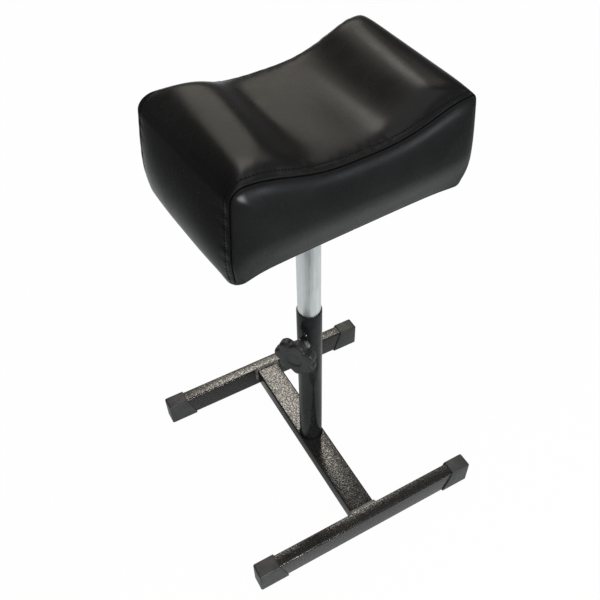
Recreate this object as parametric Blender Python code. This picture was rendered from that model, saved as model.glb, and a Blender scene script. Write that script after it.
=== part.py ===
# Pedicure footrest: a saddle cushion on a round post, clamped in a sleeve on a welded H base.
# Metres, +Z up. The origin is on the floor under the post. X runs along the legs, Y along the bar.

import math

import bmesh
import bpy
from mathutils import Matrix, Vector

# Gaps and mesh fineness
TOUCH = 0.0003  # between pieces that bear on each other
MERGE = 0.000001
ROUND_STEPS = 48  # sides of a large round piece
SMALL_STEPS = 20  # sides of a small round piece
CORNER_STEPS = 3
SMOOTH_ANGLE = math.radians(38)

# Base frame: two box tubes on edge and a flat box tube between them
LEG_LENGTH = 0.365
LEG_WIDTH = 0.020
LEG_HEIGHT = 0.040
LEG_SPACING = 0.335
BAR_WIDTH = 0.040
BAR_HEIGHT = 0.025
TUBE_WALL = 0.0015
TUBE_CORNER = 0.0025
BEAD_WIDTH = 0.008
BEAD_HEIGHT = 0.0018
FILLET_LEG = 0.0035
RIPPLE_PITCH = 0.0035
RIPPLE_SWELL = 0.12
BEAD_END_SHARE = 0.6  # size of a weld bead at its ends
BEAD_END_STEPS = 2  # half ripples over which it grows to full size

# End caps, pushed over the leg tubes: the mouth is cut on a slant
CAP_WALL = 0.0017
CAP_TOP_LENGTH = 0.032
CAP_BOTTOM_LENGTH = 0.046
CAP_ROUNDING = 0.0025

# Column: a sleeve welded on the bar and a post that slides and turns in it
POST_RADIUS = 0.01575
POST_WALL = 0.0015
POST_CLEARANCE = 0.00025
POST_INSERTED = 0.090
POST_EXPOSED = 0.1971
SLEEVE_WALL = 0.0015
SLEEVE_LENGTH = 0.2905
COLUMN_WELD = 0.0024
PLUG_FLANGE = 0.003
PLUG_DEPTH = 0.022
PLUG_WALL = 0.0025
PLUG_TAPER = 0.0012
SWIVEL = math.radians(3.8)  # the cushion's turn on the post

# Clamp: a star knob on a stud, screwed through a nut that is welded on the sleeve
CLAMP_DROP = 0.0513  # from the sleeve's mouth down to the stud
CLAMP_BEARING = math.radians(215)  # about +Z, from +X
STUD_RADIUS = 0.005
STUD_CLEARANCE = 0.0003
STUD_GRIP = 0.015  # length of stud in the knob
STUD_POINT = 0.0015
NUT_FLATS = 0.017
NUT_HEIGHT = 0.008
NUT_CHAMFER = 0.0008
NUT_WELD = 0.003
KNOB_STANDOFF = 0.003  # thread that shows between nut and knob
KNOB_RADIUS = 0.030
KNOB_LOBES = 7
KNOB_NOTCH = 0.0065
KNOB_LOBE_POWER = 1.6  # above 1 widens the lobes and narrows the notches
KNOB_HUB_RADIUS = 0.0105
KNOB_HUB_FLARE = 0.00175
KNOB_HUB_LENGTH = 0.007
KNOB_HEAD = 0.0145
KNOB_ROUNDING = 0.0035
KNOB_DISH_RADIUS = 0.0125
KNOB_DISH_DEPTH = 0.0015
LOBE_STEPS = 8  # points along one lobe

# Mounting plate under the cushion, and its screws
PLATE_LENGTH = 0.130
PLATE_WIDTH = 0.090
PLATE_THICKNESS = 0.003
PLATE_CORNER = 0.008
SCREW_SPACING_LONG = 0.104
SCREW_SPACING_SHORT = 0.064
SCREW_RADIUS = 0.0022
SCREW_CLEARANCE = 0.0005
SCREW_HEAD_RADIUS = 0.0045
SCREW_HEAD_HEIGHT = 0.0026
SCREW_HEAD_ROUNDING = 0.0016
SCREW_BITE = 0.007  # length of screw in the board
SCREW_POINT = 0.002
SCREW_TIP_RADIUS = 0.0007
PILOT_SPARE = 0.001

# Cushion: a board, a foam block with a saddle top, and a sewn cover
# Heights are above the board's underside
BOARD_THICKNESS = 0.010
BOARD_CORNER = 0.010
BOARD_FIT = 0.0006
COVER_THICKNESS = 0.0012
FOAM_FIT = 0.001
SEAM_GAP = 0.00025
TOP_HALF_LENGTH = 0.1415
TOP_HALF_WIDTH = 0.0953
BASE_HALF_LENGTH = 0.1400
BASE_HALF_WIDTH = 0.0935
BASE_TUCK = 0.004  # how far the base is drawn in between the front corners
SEAM_HUMP_HEIGHT = 0.1115
SEAM_VALLEY_HEIGHT = 0.0915
MID_HUMP_HEIGHT = 0.1245
MID_VALLEY_HEIGHT = 0.1005
SEAM_CORNER = 0.014
MID_CORNER = 0.021
SEAM_SWELL = 0.0035
SIDE_SWELL = 0.0145
FRONT_SWELL = 0.011
SWELL_SKEW = 0.55  # under 1 puts the fullest part below mid-height
FULLNESS_POWER = 5  # how quickly a panel fills out from its seam
HEM_WIDTH = 0.022

# Steps of the cushion's panels
SIDE_STEPS = 7
ARC_STEPS = 5
SADDLE_STEPS = 7
CROSS_STEPS = 12
FACE_STEPS = SIDE_STEPS  # the panels meet point to point at the upright seams
CLIMB_POWER = 2  # crowds the steps towards the base
STEEPEST_SADDLE = math.radians(60)
HALVINGS = 40  # steps in solving for the saddle's slope

# Heights and radii that follow
LEG_BOTTOM = CAP_WALL + TOUCH
LEG_TOP = LEG_BOTTOM + LEG_HEIGHT
BAR_HALF = LEG_SPACING / 2 - LEG_WIDTH / 2 - TOUCH
SLEEVE_BORE = POST_RADIUS + POST_CLEARANCE
SLEEVE_RADIUS = SLEEVE_BORE + SLEEVE_WALL
SLEEVE_BOTTOM = LEG_TOP + TOUCH
SLEEVE_TOP = SLEEVE_BOTTOM + SLEEVE_LENGTH
CLAMP_HEIGHT = SLEEVE_TOP - CLAMP_DROP
POST_BOTTOM = SLEEVE_TOP - POST_INSERTED
POST_TOP = SLEEVE_TOP + POST_EXPOSED
PLATE_BOTTOM = POST_TOP + TOUCH
BOARD_BOTTOM = PLATE_BOTTOM + PLATE_THICKNESS + TOUCH
HEM_FLOOR = -TOUCH - COVER_THICKNESS
NUT_BACK = SLEEVE_RADIUS + TOUCH
NUT_FACE = NUT_BACK + NUT_HEIGHT
KNOB_BACK = NUT_FACE + KNOB_STANDOFF
KNOB_FACE = KNOB_BACK + KNOB_HUB_LENGTH + KNOB_HEAD
STUD_BORE = STUD_RADIUS + STUD_CLEARANCE
KNOB_STEPS = KNOB_LOBES * LOBE_STEPS

# Finishes: colour, roughness, metallic
FINISHES = {
    "hammered_black": ((0.020, 0.020, 0.021), 0.42, 0.3),
    "gloss_black": ((0.014, 0.014, 0.015), 0.25, 0.2),
    "zinc": ((0.62, 0.63, 0.65), 0.38, 1.0),
    "grey_plastic": ((0.045, 0.045, 0.047), 0.62, 0.0),
    "black_plastic": ((0.022, 0.022, 0.023), 0.5, 0.0),
    "plywood": ((0.62, 0.46, 0.29), 0.7, 0.0),
    "foam": ((0.82, 0.78, 0.62), 0.95, 0.0),
    "black_leatherette": ((0.016, 0.016, 0.017), 0.36, 0.0),
}


def clear_scene():
    for item in list(bpy.data.objects):
        bpy.data.objects.remove(item, do_unlink=True)


def make_material(piece_name, finish):
    colour, roughness, metallic = FINISHES[finish]
    material = bpy.data.materials.new(f"{piece_name}_{finish}")
    material.use_nodes = True
    shader = material.node_tree.nodes["Principled BSDF"]
    shader.inputs["Base Color"].default_value = (*colour, 1.0)
    shader.inputs["Roughness"].default_value = roughness
    shader.inputs["Metallic"].default_value = metallic
    return material


def add_axis(name, matrix):
    axis = bpy.data.objects.new(name, None)
    bpy.context.collection.objects.link(axis)
    axis.matrix_world = matrix
    return axis


def add_object(name, bm, parent):
    bmesh.ops.remove_doubles(bm, verts=bm.verts, dist=MERGE)
    bmesh.ops.recalc_face_normals(bm, faces=bm.faces)
    mesh = bpy.data.meshes.new(name)
    bm.to_mesh(mesh)
    bm.free()
    piece = bpy.data.objects.new(name, mesh)
    bpy.context.collection.objects.link(piece)
    piece.parent = parent
    return piece


def add_piece(name, bm, finish, parent):
    piece = add_object(name, bm, parent)
    piece.data.shade_smooth()
    piece.data.set_sharp_from_angle(angle=SMOOTH_ANGLE)
    piece.data.materials.append(make_material(name, finish))
    return piece


def cut_away(piece, bm):
    cutter = add_object(f"{piece.name}_cutter", bm, piece.parent)
    cutter.location = piece.location
    cutter.rotation_euler = piece.rotation_euler
    cutter.hide_render = True
    cutter.display_type = "WIRE"
    boolean = piece.modifiers.new("cut", "BOOLEAN")
    boolean.operation = "DIFFERENCE"
    boolean.solver = "EXACT"
    boolean.object = cutter


def blend(low, high, share):
    return low + (high - low) * share


def skin(bm, rings, closed=False):
    # Quads between rings of points: a closed skin joins its last ring to its first, an open one is capped.
    loops = [[bm.verts.new(point) for point in ring] for ring in rings]
    pairs = list(zip(loops, loops[1:]))
    if closed:
        pairs.append((loops[-1], loops[0]))
    for first, second in pairs:
        for here in range(len(first)):
            after = (here + 1) % len(first)
            bm.faces.new((first[here], first[after], second[after], second[here]))
    if not closed:
        bm.faces.new(loops[0])
        bm.faces.new(loops[-1])


def turn_profile(bm, profile, steps):
    # A closed outline of (radius, height) points, spun about Z.
    points = [bm.verts.new((radius, 0, height)) for radius, height in profile]
    edges = [bm.edges.new((points[k - 1], points[k])) for k in range(len(points))]
    bmesh.ops.spin(
        bm, geom=points + edges, cent=(0, 0, 0), axis=(0, 0, 1), angle=math.tau, steps=steps, use_merge=True
    )


def rounded_rectangle(width, height, corner):
    points = []
    for quarter in range(4):
        sign_x = (1, -1, -1, 1)[quarter]
        sign_y = (1, 1, -1, -1)[quarter]
        for step in range(CORNER_STEPS + 1):
            angle = math.pi / 2 * (quarter + step / CORNER_STEPS)
            x = sign_x * (width / 2 - corner) + corner * math.cos(angle)
            y = sign_y * (height / 2 - corner) + corner * math.sin(angle)
            points.append((x, y))
    return points


def quarter_round(radius):
    # From a face to the side that it meets: pairs of (inset from the side, depth from the face).
    angles = [math.pi / 2 * step / CORNER_STEPS for step in range(CORNER_STEPS + 1)]
    return [(radius * (1 - math.sin(angle)), radius * (1 - math.cos(angle))) for angle in angles]


def circle(radius, steps, height):
    angles = [math.tau * step / steps for step in range(steps)]
    return [(radius * math.cos(angle), radius * math.sin(angle), height) for angle in angles]


def rod(radius, low, high, steps):
    bm = bmesh.new()
    skin(bm, [circle(radius, steps, low), circle(radius, steps, high)])
    return bm


def pipe(outer_radius, inner_radius, low, high):
    bm = bmesh.new()
    outline = [(outer_radius, high), (outer_radius, low), (inner_radius, low), (inner_radius, high)]
    turn_profile(bm, outline, ROUND_STEPS)
    return bm


def box_tube(width, height, length):
    # A hollow tube along X with rounded corners and open ends.
    bm = bmesh.new()
    outer = rounded_rectangle(width, height, TUBE_CORNER)
    inner_corner = max(TUBE_CORNER - TUBE_WALL, TUBE_CORNER / 4)
    inner = rounded_rectangle(width - 2 * TUBE_WALL, height - 2 * TUBE_WALL, inner_corner)
    ends = (-length / 2, length / 2)
    rings = [[(x, y, z) for y, z in outer] for x in ends]
    rings += [[(x, y, z) for y, z in inner] for x in reversed(ends)]
    skin(bm, rings, closed=True)
    return bm


# Weld sections, as shares of the weld's leg along the two faces that it joins
FILLET_SECTION = ((0, 0), (1, 0), (0.85, 0.35), (0.6, 0.6), (0.35, 0.85), (0, 1))
CROWN_SECTION = ((-0.5, 0), (-0.38, 0.62), (-0.15, 1), (0.15, 1), (0.38, 0.62), (0.5, 0))


def bead_size(step, last):
    # Share of the full bead at a step: it swells at each ripple and tapers at its ends.
    grown = min(1.0, min(step, last - step) / BEAD_END_STEPS)
    return blend(BEAD_END_SHARE, 1.0, grown) * (1 + RIPPLE_SWELL * (-1) ** step)


def half_ripples(length):
    return 2 * max(2, round(length / RIPPLE_PITCH))


def weld_run(bm, section, start, end, across, up, leg):
    run = end - start
    count = half_ripples(run.length)
    rings = []
    for step in range(count + 1):
        size = leg * bead_size(step, count)
        place = start + run * (step / count)
        rings.append([place + across * (a * size) + up * (b * size) for a, b in section])
    skin(bm, rings)


def weld_ring(radius, height, direction, leg):
    # A fillet round a tube that stands on, or hangs from, a flat face.
    bm = bmesh.new()
    ripples = round(math.tau * radius / (2 * RIPPLE_PITCH))
    count = 4 * ripples
    rings = []
    for step in range(count):
        angle = math.tau * step / count
        size = leg * (1 + RIPPLE_SWELL * math.cos(ripples * angle))
        ring = []
        for a, b in FILLET_SECTION:
            reach = radius + a * size
            ring.append((reach * math.cos(angle), reach * math.sin(angle), height + direction * b * size))
        rings.append(ring)
    skin(bm, rings, closed=True)
    return bm


def make_leg(name, y, parent):
    leg = add_piece(name, box_tube(LEG_WIDTH, LEG_HEIGHT, LEG_LENGTH), "hammered_black", parent)
    leg.location = (0, y, LEG_BOTTOM + LEG_HEIGHT / 2)


def make_bar(parent):
    bar = add_piece("cross_bar", box_tube(BAR_WIDTH, BAR_HEIGHT, 2 * BAR_HALF), "hammered_black", parent)
    bar.location = (0, 0, LEG_TOP - BAR_HEIGHT / 2)
    bar.rotation_euler = (0, 0, math.pi / 2)


def bar_weld_path():
    # Up one side of the bar, over its top and down the other side: (x, z, outward direction, share of crown).
    reach = BAR_WIDTH / 2 - TUBE_CORNER
    low = LEG_TOP - BAR_HEIGHT + TUBE_CORNER
    high = LEG_TOP - TUBE_CORNER
    radius = TUBE_CORNER + TOUCH
    rise = half_ripples(high - low)
    left = [(-reach - radius, blend(low, high, step / rise), math.pi, 0) for step in range(rise)]
    for step in range(CORNER_STEPS + 1):
        turn = math.pi - math.pi / 2 * step / CORNER_STEPS
        left.append((-reach + radius * math.cos(turn), high + radius * math.sin(turn), turn, 0))
    right = [(-x, z, math.pi - turn, share) for x, z, turn, share in reversed(left)]
    span = half_ripples(2 * reach)
    top = [(blend(-reach, reach, step / span), high + radius, math.pi / 2, 1) for step in range(1, span)]
    return left + top + right


def make_bar_weld(name, side, parent):
    # A fillet down each side of the bar and a flush bead over its top; side is -1 at the near leg.
    bm = bmesh.new()
    face_y = side * (BAR_HALF + TOUCH)
    rings = []
    path = bar_weld_path()
    for step, (x, z, turn, crown) in enumerate(path):
        size = bead_size(step, len(path) - 1)
        ring = []
        for (a, b), (c, d) in zip(FILLET_SECTION, CROWN_SECTION):
            along = blend(TOUCH + b * FILLET_LEG * size, c * BEAD_WIDTH * size, crown)
            out = blend(a * FILLET_LEG * size, d * BEAD_HEIGHT * size, crown)
            ring.append((x + out * math.cos(turn), face_y - side * along, z + out * math.sin(turn)))
        rings.append(ring)
    skin(bm, rings)
    add_piece(name, bm, "hammered_black", parent)


def make_cap(name, end, y, parent):
    # A box cap whose closed end is at local x = 0; end is -1 or 1 along the leg.
    half_width = LEG_WIDTH / 2 + TOUCH + CAP_WALL
    height = LEG_HEIGHT + 2 * (TOUCH + CAP_WALL)
    bm = bmesh.new()
    bmesh.ops.create_cube(bm, size=2)
    for vert in bm.verts:
        length = CAP_TOP_LENGTH if vert.co.z > 0 else CAP_BOTTOM_LENGTH
        vert.co.x = -length if vert.co.x < 0 else 0
        vert.co.y *= half_width
        vert.co.z = height if vert.co.z > 0 else 0
    rounded = [edge for edge in bm.edges if any(vert.co.x == 0 for vert in edge.verts)]
    bmesh.ops.bevel(bm, geom=rounded, offset=CAP_ROUNDING, segments=CORNER_STEPS, profile=0.5, affect="EDGES")
    cap = add_piece(name, bm, "grey_plastic", parent)
    cap.location = (end * (LEG_LENGTH / 2 + TOUCH + CAP_WALL), y, 0)
    cap.rotation_euler = (0, 0, 0 if end > 0 else math.pi)
    bore = bmesh.new()
    outline = rounded_rectangle(LEG_WIDTH + 2 * TOUCH, LEG_HEIGHT + 2 * TOUCH, TUBE_CORNER)
    middle = height / 2
    rings = [[(x, a, middle + b) for a, b in outline] for x in (-2 * CAP_BOTTOM_LENGTH, -CAP_WALL)]
    skin(bore, rings)
    cut_away(cap, bore)


def make_sleeve(parent, clamp_axis):
    sleeve = add_piece(
        "column_sleeve", pipe(SLEEVE_RADIUS, SLEEVE_BORE, SLEEVE_BOTTOM, SLEEVE_TOP), "gloss_black", parent
    )
    hole = rod(STUD_BORE, SLEEVE_BORE / 2, NUT_FACE, SMALL_STEPS)
    hole.transform(clamp_axis.matrix_world)
    cut_away(sleeve, hole)
    base_weld = weld_ring(SLEEVE_RADIUS + TOUCH, LEG_TOP + TOUCH, 1, COLUMN_WELD)
    add_piece("sleeve_base_weld", base_weld, "gloss_black", parent)


def make_nut(parent):
    # A hex nut with chamfered corners, and a fillet above and below it on the sleeve.
    corner_radius = NUT_FLATS / math.sqrt(3)
    bm = bmesh.new()
    rings = []
    levels = (
        (corner_radius, NUT_BACK),
        (corner_radius, NUT_FACE - NUT_CHAMFER),
        (corner_radius - NUT_CHAMFER, NUT_FACE),
    )
    for radius, height in levels:
        rings.append(circle(radius, 6, height))
    skin(bm, rings)
    nut = add_piece("clamp_nut", bm, "zinc", parent)
    cut_away(nut, rod(STUD_BORE, NUT_BACK - NUT_HEIGHT, NUT_FACE + NUT_HEIGHT, SMALL_STEPS))
    for name, hand in (("clamp_nut_weld_lower", -1), ("clamp_nut_weld_upper", 1)):
        weld = bmesh.new()
        y = hand * (NUT_FLATS / 2 + TOUCH)
        start = Vector((-corner_radius / 2, y, NUT_BACK))
        end = Vector((corner_radius / 2, y, NUT_BACK))
        weld_run(weld, FILLET_SECTION, start, end, Vector((0, hand, 0)), Vector((0, 0, 1)), NUT_WELD)
        add_piece(name, weld, "gloss_black", parent)


def make_stud(parent):
    tip = POST_RADIUS + TOUCH
    end = KNOB_BACK + STUD_GRIP
    rings = [
        circle(STUD_RADIUS - STUD_POINT, SMALL_STEPS, tip),
        circle(STUD_RADIUS, SMALL_STEPS, tip + STUD_POINT),
        circle(STUD_RADIUS, SMALL_STEPS, end),
    ]
    bm = bmesh.new()
    skin(bm, rings)
    add_piece("clamp_stud", bm, "zinc", parent)


def star_ring(height, inset):
    # One ring of the knob's lobed outline, drawn in by inset. The first lobe points along -X.
    ring = []
    for x, y, z in circle(1, KNOB_STEPS, height):
        lobe_angle = KNOB_LOBES * (math.atan2(y, x) - math.pi)
        notch = (0.5 - 0.5 * math.cos(lobe_angle)) ** KNOB_LOBE_POWER
        radius = KNOB_RADIUS - inset - KNOB_NOTCH * notch
        ring.append((radius * x, radius * y, z))
    return ring


def make_knob(parent):
    # Rings from the stud's socket, over the hub and the lobed head, to the dished face.
    head_back = KNOB_BACK + KNOB_HUB_LENGTH
    socket = KNOB_BACK + STUD_GRIP + TOUCH
    edge = quarter_round(KNOB_ROUNDING)
    rings = [
        circle(STUD_BORE, KNOB_STEPS, socket),
        circle(STUD_BORE, KNOB_STEPS, KNOB_BACK),
        circle(KNOB_HUB_RADIUS, KNOB_STEPS, KNOB_BACK),
        circle(KNOB_HUB_RADIUS + KNOB_HUB_FLARE, KNOB_STEPS, head_back),
    ]
    rings += [star_ring(head_back + depth, inset) for inset, depth in edge]
    rings += [star_ring(KNOB_FACE - depth, inset) for inset, depth in reversed(edge)]
    rings += [
        circle(KNOB_DISH_RADIUS, KNOB_STEPS, KNOB_FACE),
        circle(KNOB_DISH_RADIUS - KNOB_DISH_DEPTH, KNOB_STEPS, KNOB_FACE - KNOB_DISH_DEPTH),
    ]
    bm = bmesh.new()
    skin(bm, rings)
    add_piece("clamp_knob", bm, "black_plastic", parent)


def make_post(parent):
    inner = POST_RADIUS - POST_WALL
    add_piece("post_tube", pipe(POST_RADIUS, inner, POST_BOTTOM, POST_TOP), "zinc", parent)
    shank = inner - TOUCH
    flange_top = POST_BOTTOM - TOUCH
    outline = [
        (shank - PLUG_TAPER, flange_top + PLUG_DEPTH),
        (shank, flange_top + PLUG_DEPTH / 2),
        (shank, flange_top),
        (POST_RADIUS, flange_top),
        (POST_RADIUS, flange_top - PLUG_FLANGE / 2),
        (POST_RADIUS - PLUG_FLANGE / 2, flange_top - PLUG_FLANGE),
        (shank - PLUG_WALL, flange_top - PLUG_FLANGE),
        (shank - PLUG_WALL - PLUG_TAPER, flange_top + PLUG_DEPTH),
    ]
    plug = bmesh.new()
    turn_profile(plug, outline, ROUND_STEPS)
    add_piece("post_end_plug", plug, "black_plastic", parent)


def screw_places():
    return [(sx * SCREW_SPACING_LONG / 2, sy * SCREW_SPACING_SHORT / 2) for sx in (-1, 1) for sy in (-1, 1)]


def drill(radius, low, high):
    holes = bmesh.new()
    for x, y in screw_places():
        rings = [[(x + a, y + b, c) for a, b, c in circle(radius, SMALL_STEPS, z)] for z in (low, high)]
        skin(holes, rings)
    return holes


def flat_board(length, width, corner, low, high):
    bm = bmesh.new()
    outline = rounded_rectangle(length, width, corner)
    skin(bm, [[(x, y, z) for x, y in outline] for z in (low, high)])
    return bm


def make_plate(parent):
    top = PLATE_BOTTOM + PLATE_THICKNESS
    slab = flat_board(PLATE_LENGTH, PLATE_WIDTH, PLATE_CORNER, PLATE_BOTTOM, top)
    plate = add_piece("mount_plate", slab, "gloss_black", parent)
    holes = drill(SCREW_RADIUS + SCREW_CLEARANCE, PLATE_BOTTOM - PLATE_THICKNESS, top + PLATE_THICKNESS)
    cut_away(plate, holes)
    weld = weld_ring(POST_RADIUS + TOUCH, PLATE_BOTTOM - TOUCH, -1, COLUMN_WELD)
    add_piece("post_plate_weld", weld, "gloss_black", parent)


def make_screws(parent):
    # Pan-head screws, driven up through the plate into the board.
    head_top = PLATE_BOTTOM - TOUCH
    head_bottom = head_top - SCREW_HEAD_HEIGHT
    tip = BOARD_BOTTOM + SCREW_BITE
    edge = quarter_round(SCREW_HEAD_ROUNDING)
    levels = [(SCREW_HEAD_RADIUS - inset, head_bottom + depth) for inset, depth in edge]
    levels += [
        (SCREW_HEAD_RADIUS, head_top),
        (SCREW_RADIUS, head_top),
        (SCREW_RADIUS, tip - SCREW_POINT),
        (SCREW_TIP_RADIUS, tip),
    ]
    for number, (x, y) in enumerate(screw_places(), start=1):
        bm = bmesh.new()
        skin(bm, [circle(radius, SMALL_STEPS, z) for radius, z in levels])
        screw = add_piece(f"plate_screw_{number}", bm, "zinc", parent)
        screw.location = (x, y, 0)


def make_board(parent):
    margin = COVER_THICKNESS + BOARD_FIT
    length = 2 * (BASE_HALF_LENGTH - margin)
    width = 2 * (BASE_HALF_WIDTH - BASE_TUCK - margin)
    slab = flat_board(length, width, BOARD_CORNER, BOARD_BOTTOM, BOARD_BOTTOM + BOARD_THICKNESS)
    board = add_piece("base_board", slab, "plywood", parent)
    depth = SCREW_BITE + PILOT_SPARE
    cut_away(board, drill(SCREW_RADIUS + SCREW_CLEARANCE, BOARD_BOTTOM - depth, BOARD_BOTTOM + depth))


def fullness(place):
    # 0 at a panel's seams and 1 across most of its middle; place runs from -1 to 1.
    return 1 - min(1.0, abs(place)) ** FULLNESS_POWER


def rise_at(height, inset):
    return min(max((height - HEM_FLOOR - inset) / (SEAM_HUMP_HEIGHT - HEM_FLOOR), 0.0), 1.0)


def swell_at(rise):
    return math.sin(math.pi * rise**SWELL_SKEW)


def side_x(height, share, inset):
    # Half length of the cushion at a height; share is 0 at the seams and 1 in the middle of the side.
    rise = rise_at(height, inset)
    swell = blend(SEAM_SWELL, SIDE_SWELL, share)
    return blend(BASE_HALF_LENGTH, TOP_HALF_LENGTH, rise) + swell * swell_at(rise) - inset


def front_y(height, share, inset):
    # Half width of the cushion at a height; share is 0 at the corners and 1 in the middle of the front.
    rise = rise_at(height, inset)
    base = BASE_HALF_WIDTH - BASE_TUCK * share
    swell = blend(SEAM_SWELL, FRONT_SWELL, share)
    return blend(base, TOP_HALF_WIDTH, rise) + swell * swell_at(rise) - inset


def saddle_angle(drop, arc_x, corner):
    # Slope at which the hump's round corner runs into the parabola of the saddle.
    low = 0.0
    high = STEEPEST_SADDLE
    for _ in range(HALVINGS):
        angle = (low + high) / 2
        if (arc_x - corner * math.sin(angle)) * math.tan(angle) / 2 > drop - corner * (1 - math.cos(angle)):
            high = angle
        else:
            low = angle
    return low


def half_top(share, inset):
    # From the top of the side, round the hump and down the saddle to the middle: points (x, height), x >= 0.
    hump = blend(SEAM_HUMP_HEIGHT, MID_HUMP_HEIGHT, share) - inset
    valley = blend(SEAM_VALLEY_HEIGHT, MID_VALLEY_HEIGHT, share) - inset
    corner = blend(SEAM_CORNER, MID_CORNER, share) - inset
    arc_height = hump - corner
    arc_x = side_x(arc_height, share, inset) - corner
    angle = saddle_angle(hump - valley, arc_x, corner)
    points = []
    for step in range(ARC_STEPS + 1):
        turn = (math.pi / 2 + angle) * step / ARC_STEPS
        points.append((arc_x + corner * math.cos(turn), arc_height + corner * math.sin(turn)))
    end_x, end_height = points[-1]
    for step in range(1, SADDLE_STEPS + 1):
        x = end_x * (1 - step / SADDLE_STEPS)
        points.append((x, valley + (end_height - valley) * (x / end_x) ** 2))
    return points


def climb(low, high, steps):
    # Heights from low to high, closer together near the base where the panel turns under.
    return [blend(low, high, (step / steps) ** CLIMB_POWER) for step in range(steps + 1)]


def mirrored(half):
    # The right half's points, led by their mirror images and without a second middle point.
    left = [(-point[0], *point[1:]) for point in half]
    return left + list(reversed(half[:-1]))


def wrap_profile(share, inset, start):
    # Points (x, height) of the wrap panel's section, from its left base edge to its right one.
    top = half_top(share, inset)
    heights = climb(start, top[0][1], SIDE_STEPS)[:-1]
    return mirrored([(side_x(height, share, inset), height) for height in heights] + top)


def wrap_grid(inset, gap, start):
    # Rows of points across the wrap panel, from the front seam to the rear one.
    rows = []
    for step in range(CROSS_STEPS + 1):
        place = math.sin(math.pi * (step / CROSS_STEPS - 0.5))
        row = []
        for x, height in wrap_profile(fullness(place), inset, start):
            row.append((x, place * (front_y(height, 0, inset) - gap), height))
        rows.append(row)
    return rows


def face_grid(inset, gap, start):
    # Columns of points up the front panel, from its left edge to its right one; y is a half width.
    outline = mirrored(half_top(0, inset + gap))
    columns = []
    for x, top in outline:
        place = x / side_x(top, 0, inset + gap)
        share = fullness(place)
        column = []
        for height in climb(start, top, FACE_STEPS):
            full = share * fullness((height - start) / (top - start))
            column.append((place * side_x(height, 0, inset + gap), front_y(height, full, inset), height))
        columns.append(column)
    return columns


def grid_faces(bm, rows):
    verts = [[bm.verts.new(point) for point in row] for row in rows]
    for first, second in zip(verts, verts[1:]):
        for here in range(len(first) - 1):
            bm.faces.new((first[here], first[here + 1], second[here + 1], second[here]))
    return verts


def shell(outer_rows, inner_rows):
    # A sheet with thickness: its outer grid, its inner grid and the rim between them.
    bm = bmesh.new()
    grids = [grid_faces(bm, rows) for rows in (outer_rows, inner_rows)]
    rims = []
    for grid in grids:
        right = [row[-1] for row in grid[1:-1]]
        left = [row[0] for row in reversed(grid[1:-1])]
        rims.append(grid[0] + right + list(reversed(grid[-1])) + left)
    outer, inner = rims
    for here in range(len(outer)):
        bm.faces.new((outer[here - 1], outer[here], inner[here], inner[here - 1]))
    return bm


def wrap_rows(inset):
    # The wrap panel with its two hems, turned under the board and mitred at the corners.
    floor = HEM_FLOOR + inset
    rows = wrap_grid(inset, SEAM_GAP, floor)
    hem_x = BASE_HALF_LENGTH - HEM_WIDTH
    hem_y = front_y(floor, 0, inset) - SEAM_GAP - (side_x(floor, 0, inset) - hem_x)
    for row in rows:
        edge_y = row[0][1]
        hem_edge = edge_y / (front_y(floor, 0, inset) - SEAM_GAP) * hem_y
        row.insert(0, (-hem_x, hem_edge, floor))
        row.append((hem_x, hem_edge, floor))
    return rows


def face_rows(inset, side):
    # The front or rear panel with its hem, turned under the board and mitred at the corners.
    floor = HEM_FLOOR + inset
    hem_y = BASE_HALF_WIDTH - HEM_WIDTH
    reach = side_x(floor, 0, inset + SEAM_GAP)
    hem_reach = reach - (front_y(floor, 0, inset) - hem_y)
    columns = face_grid(inset, SEAM_GAP, floor)
    for column in columns:
        column.insert(0, (column[0][0] / reach * hem_reach, hem_y, floor))
    return [[(x, side * y, height) for x, y, height in column] for column in columns]


def lift(rows):
    return [[(x, y, BOARD_BOTTOM + height) for x, y, height in row] for row in rows]


def make_cover(parent):
    wrap = shell(lift(wrap_rows(0)), lift(wrap_rows(COVER_THICKNESS)))
    add_piece("cover_wrap_panel", wrap, "black_leatherette", parent)
    for name, side in (("cover_front_panel", -1), ("cover_rear_panel", 1)):
        panel = shell(lift(face_rows(0, side)), lift(face_rows(COVER_THICKNESS, side)))
        add_piece(name, panel, "black_leatherette", parent)


def make_foam(parent):
    # The foam fills the cover above the board: the same forms, closed by a flat base.
    inset = COVER_THICKNESS + FOAM_FIT
    start = BOARD_THICKNESS + TOUCH
    bm = bmesh.new()
    grid_faces(bm, lift(wrap_grid(inset, 0, start)))
    columns = face_grid(inset, 0, start)
    for side in (-1, 1):
        grid_faces(bm, lift([[(x, side * y, height) for x, y, height in column] for column in columns]))
    bmesh.ops.remove_doubles(bm, verts=bm.verts, dist=MERGE)
    bmesh.ops.holes_fill(bm, edges=[edge for edge in bm.edges if edge.is_boundary], sides=0)
    add_piece("foam_core", bm, "foam", parent)


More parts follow.
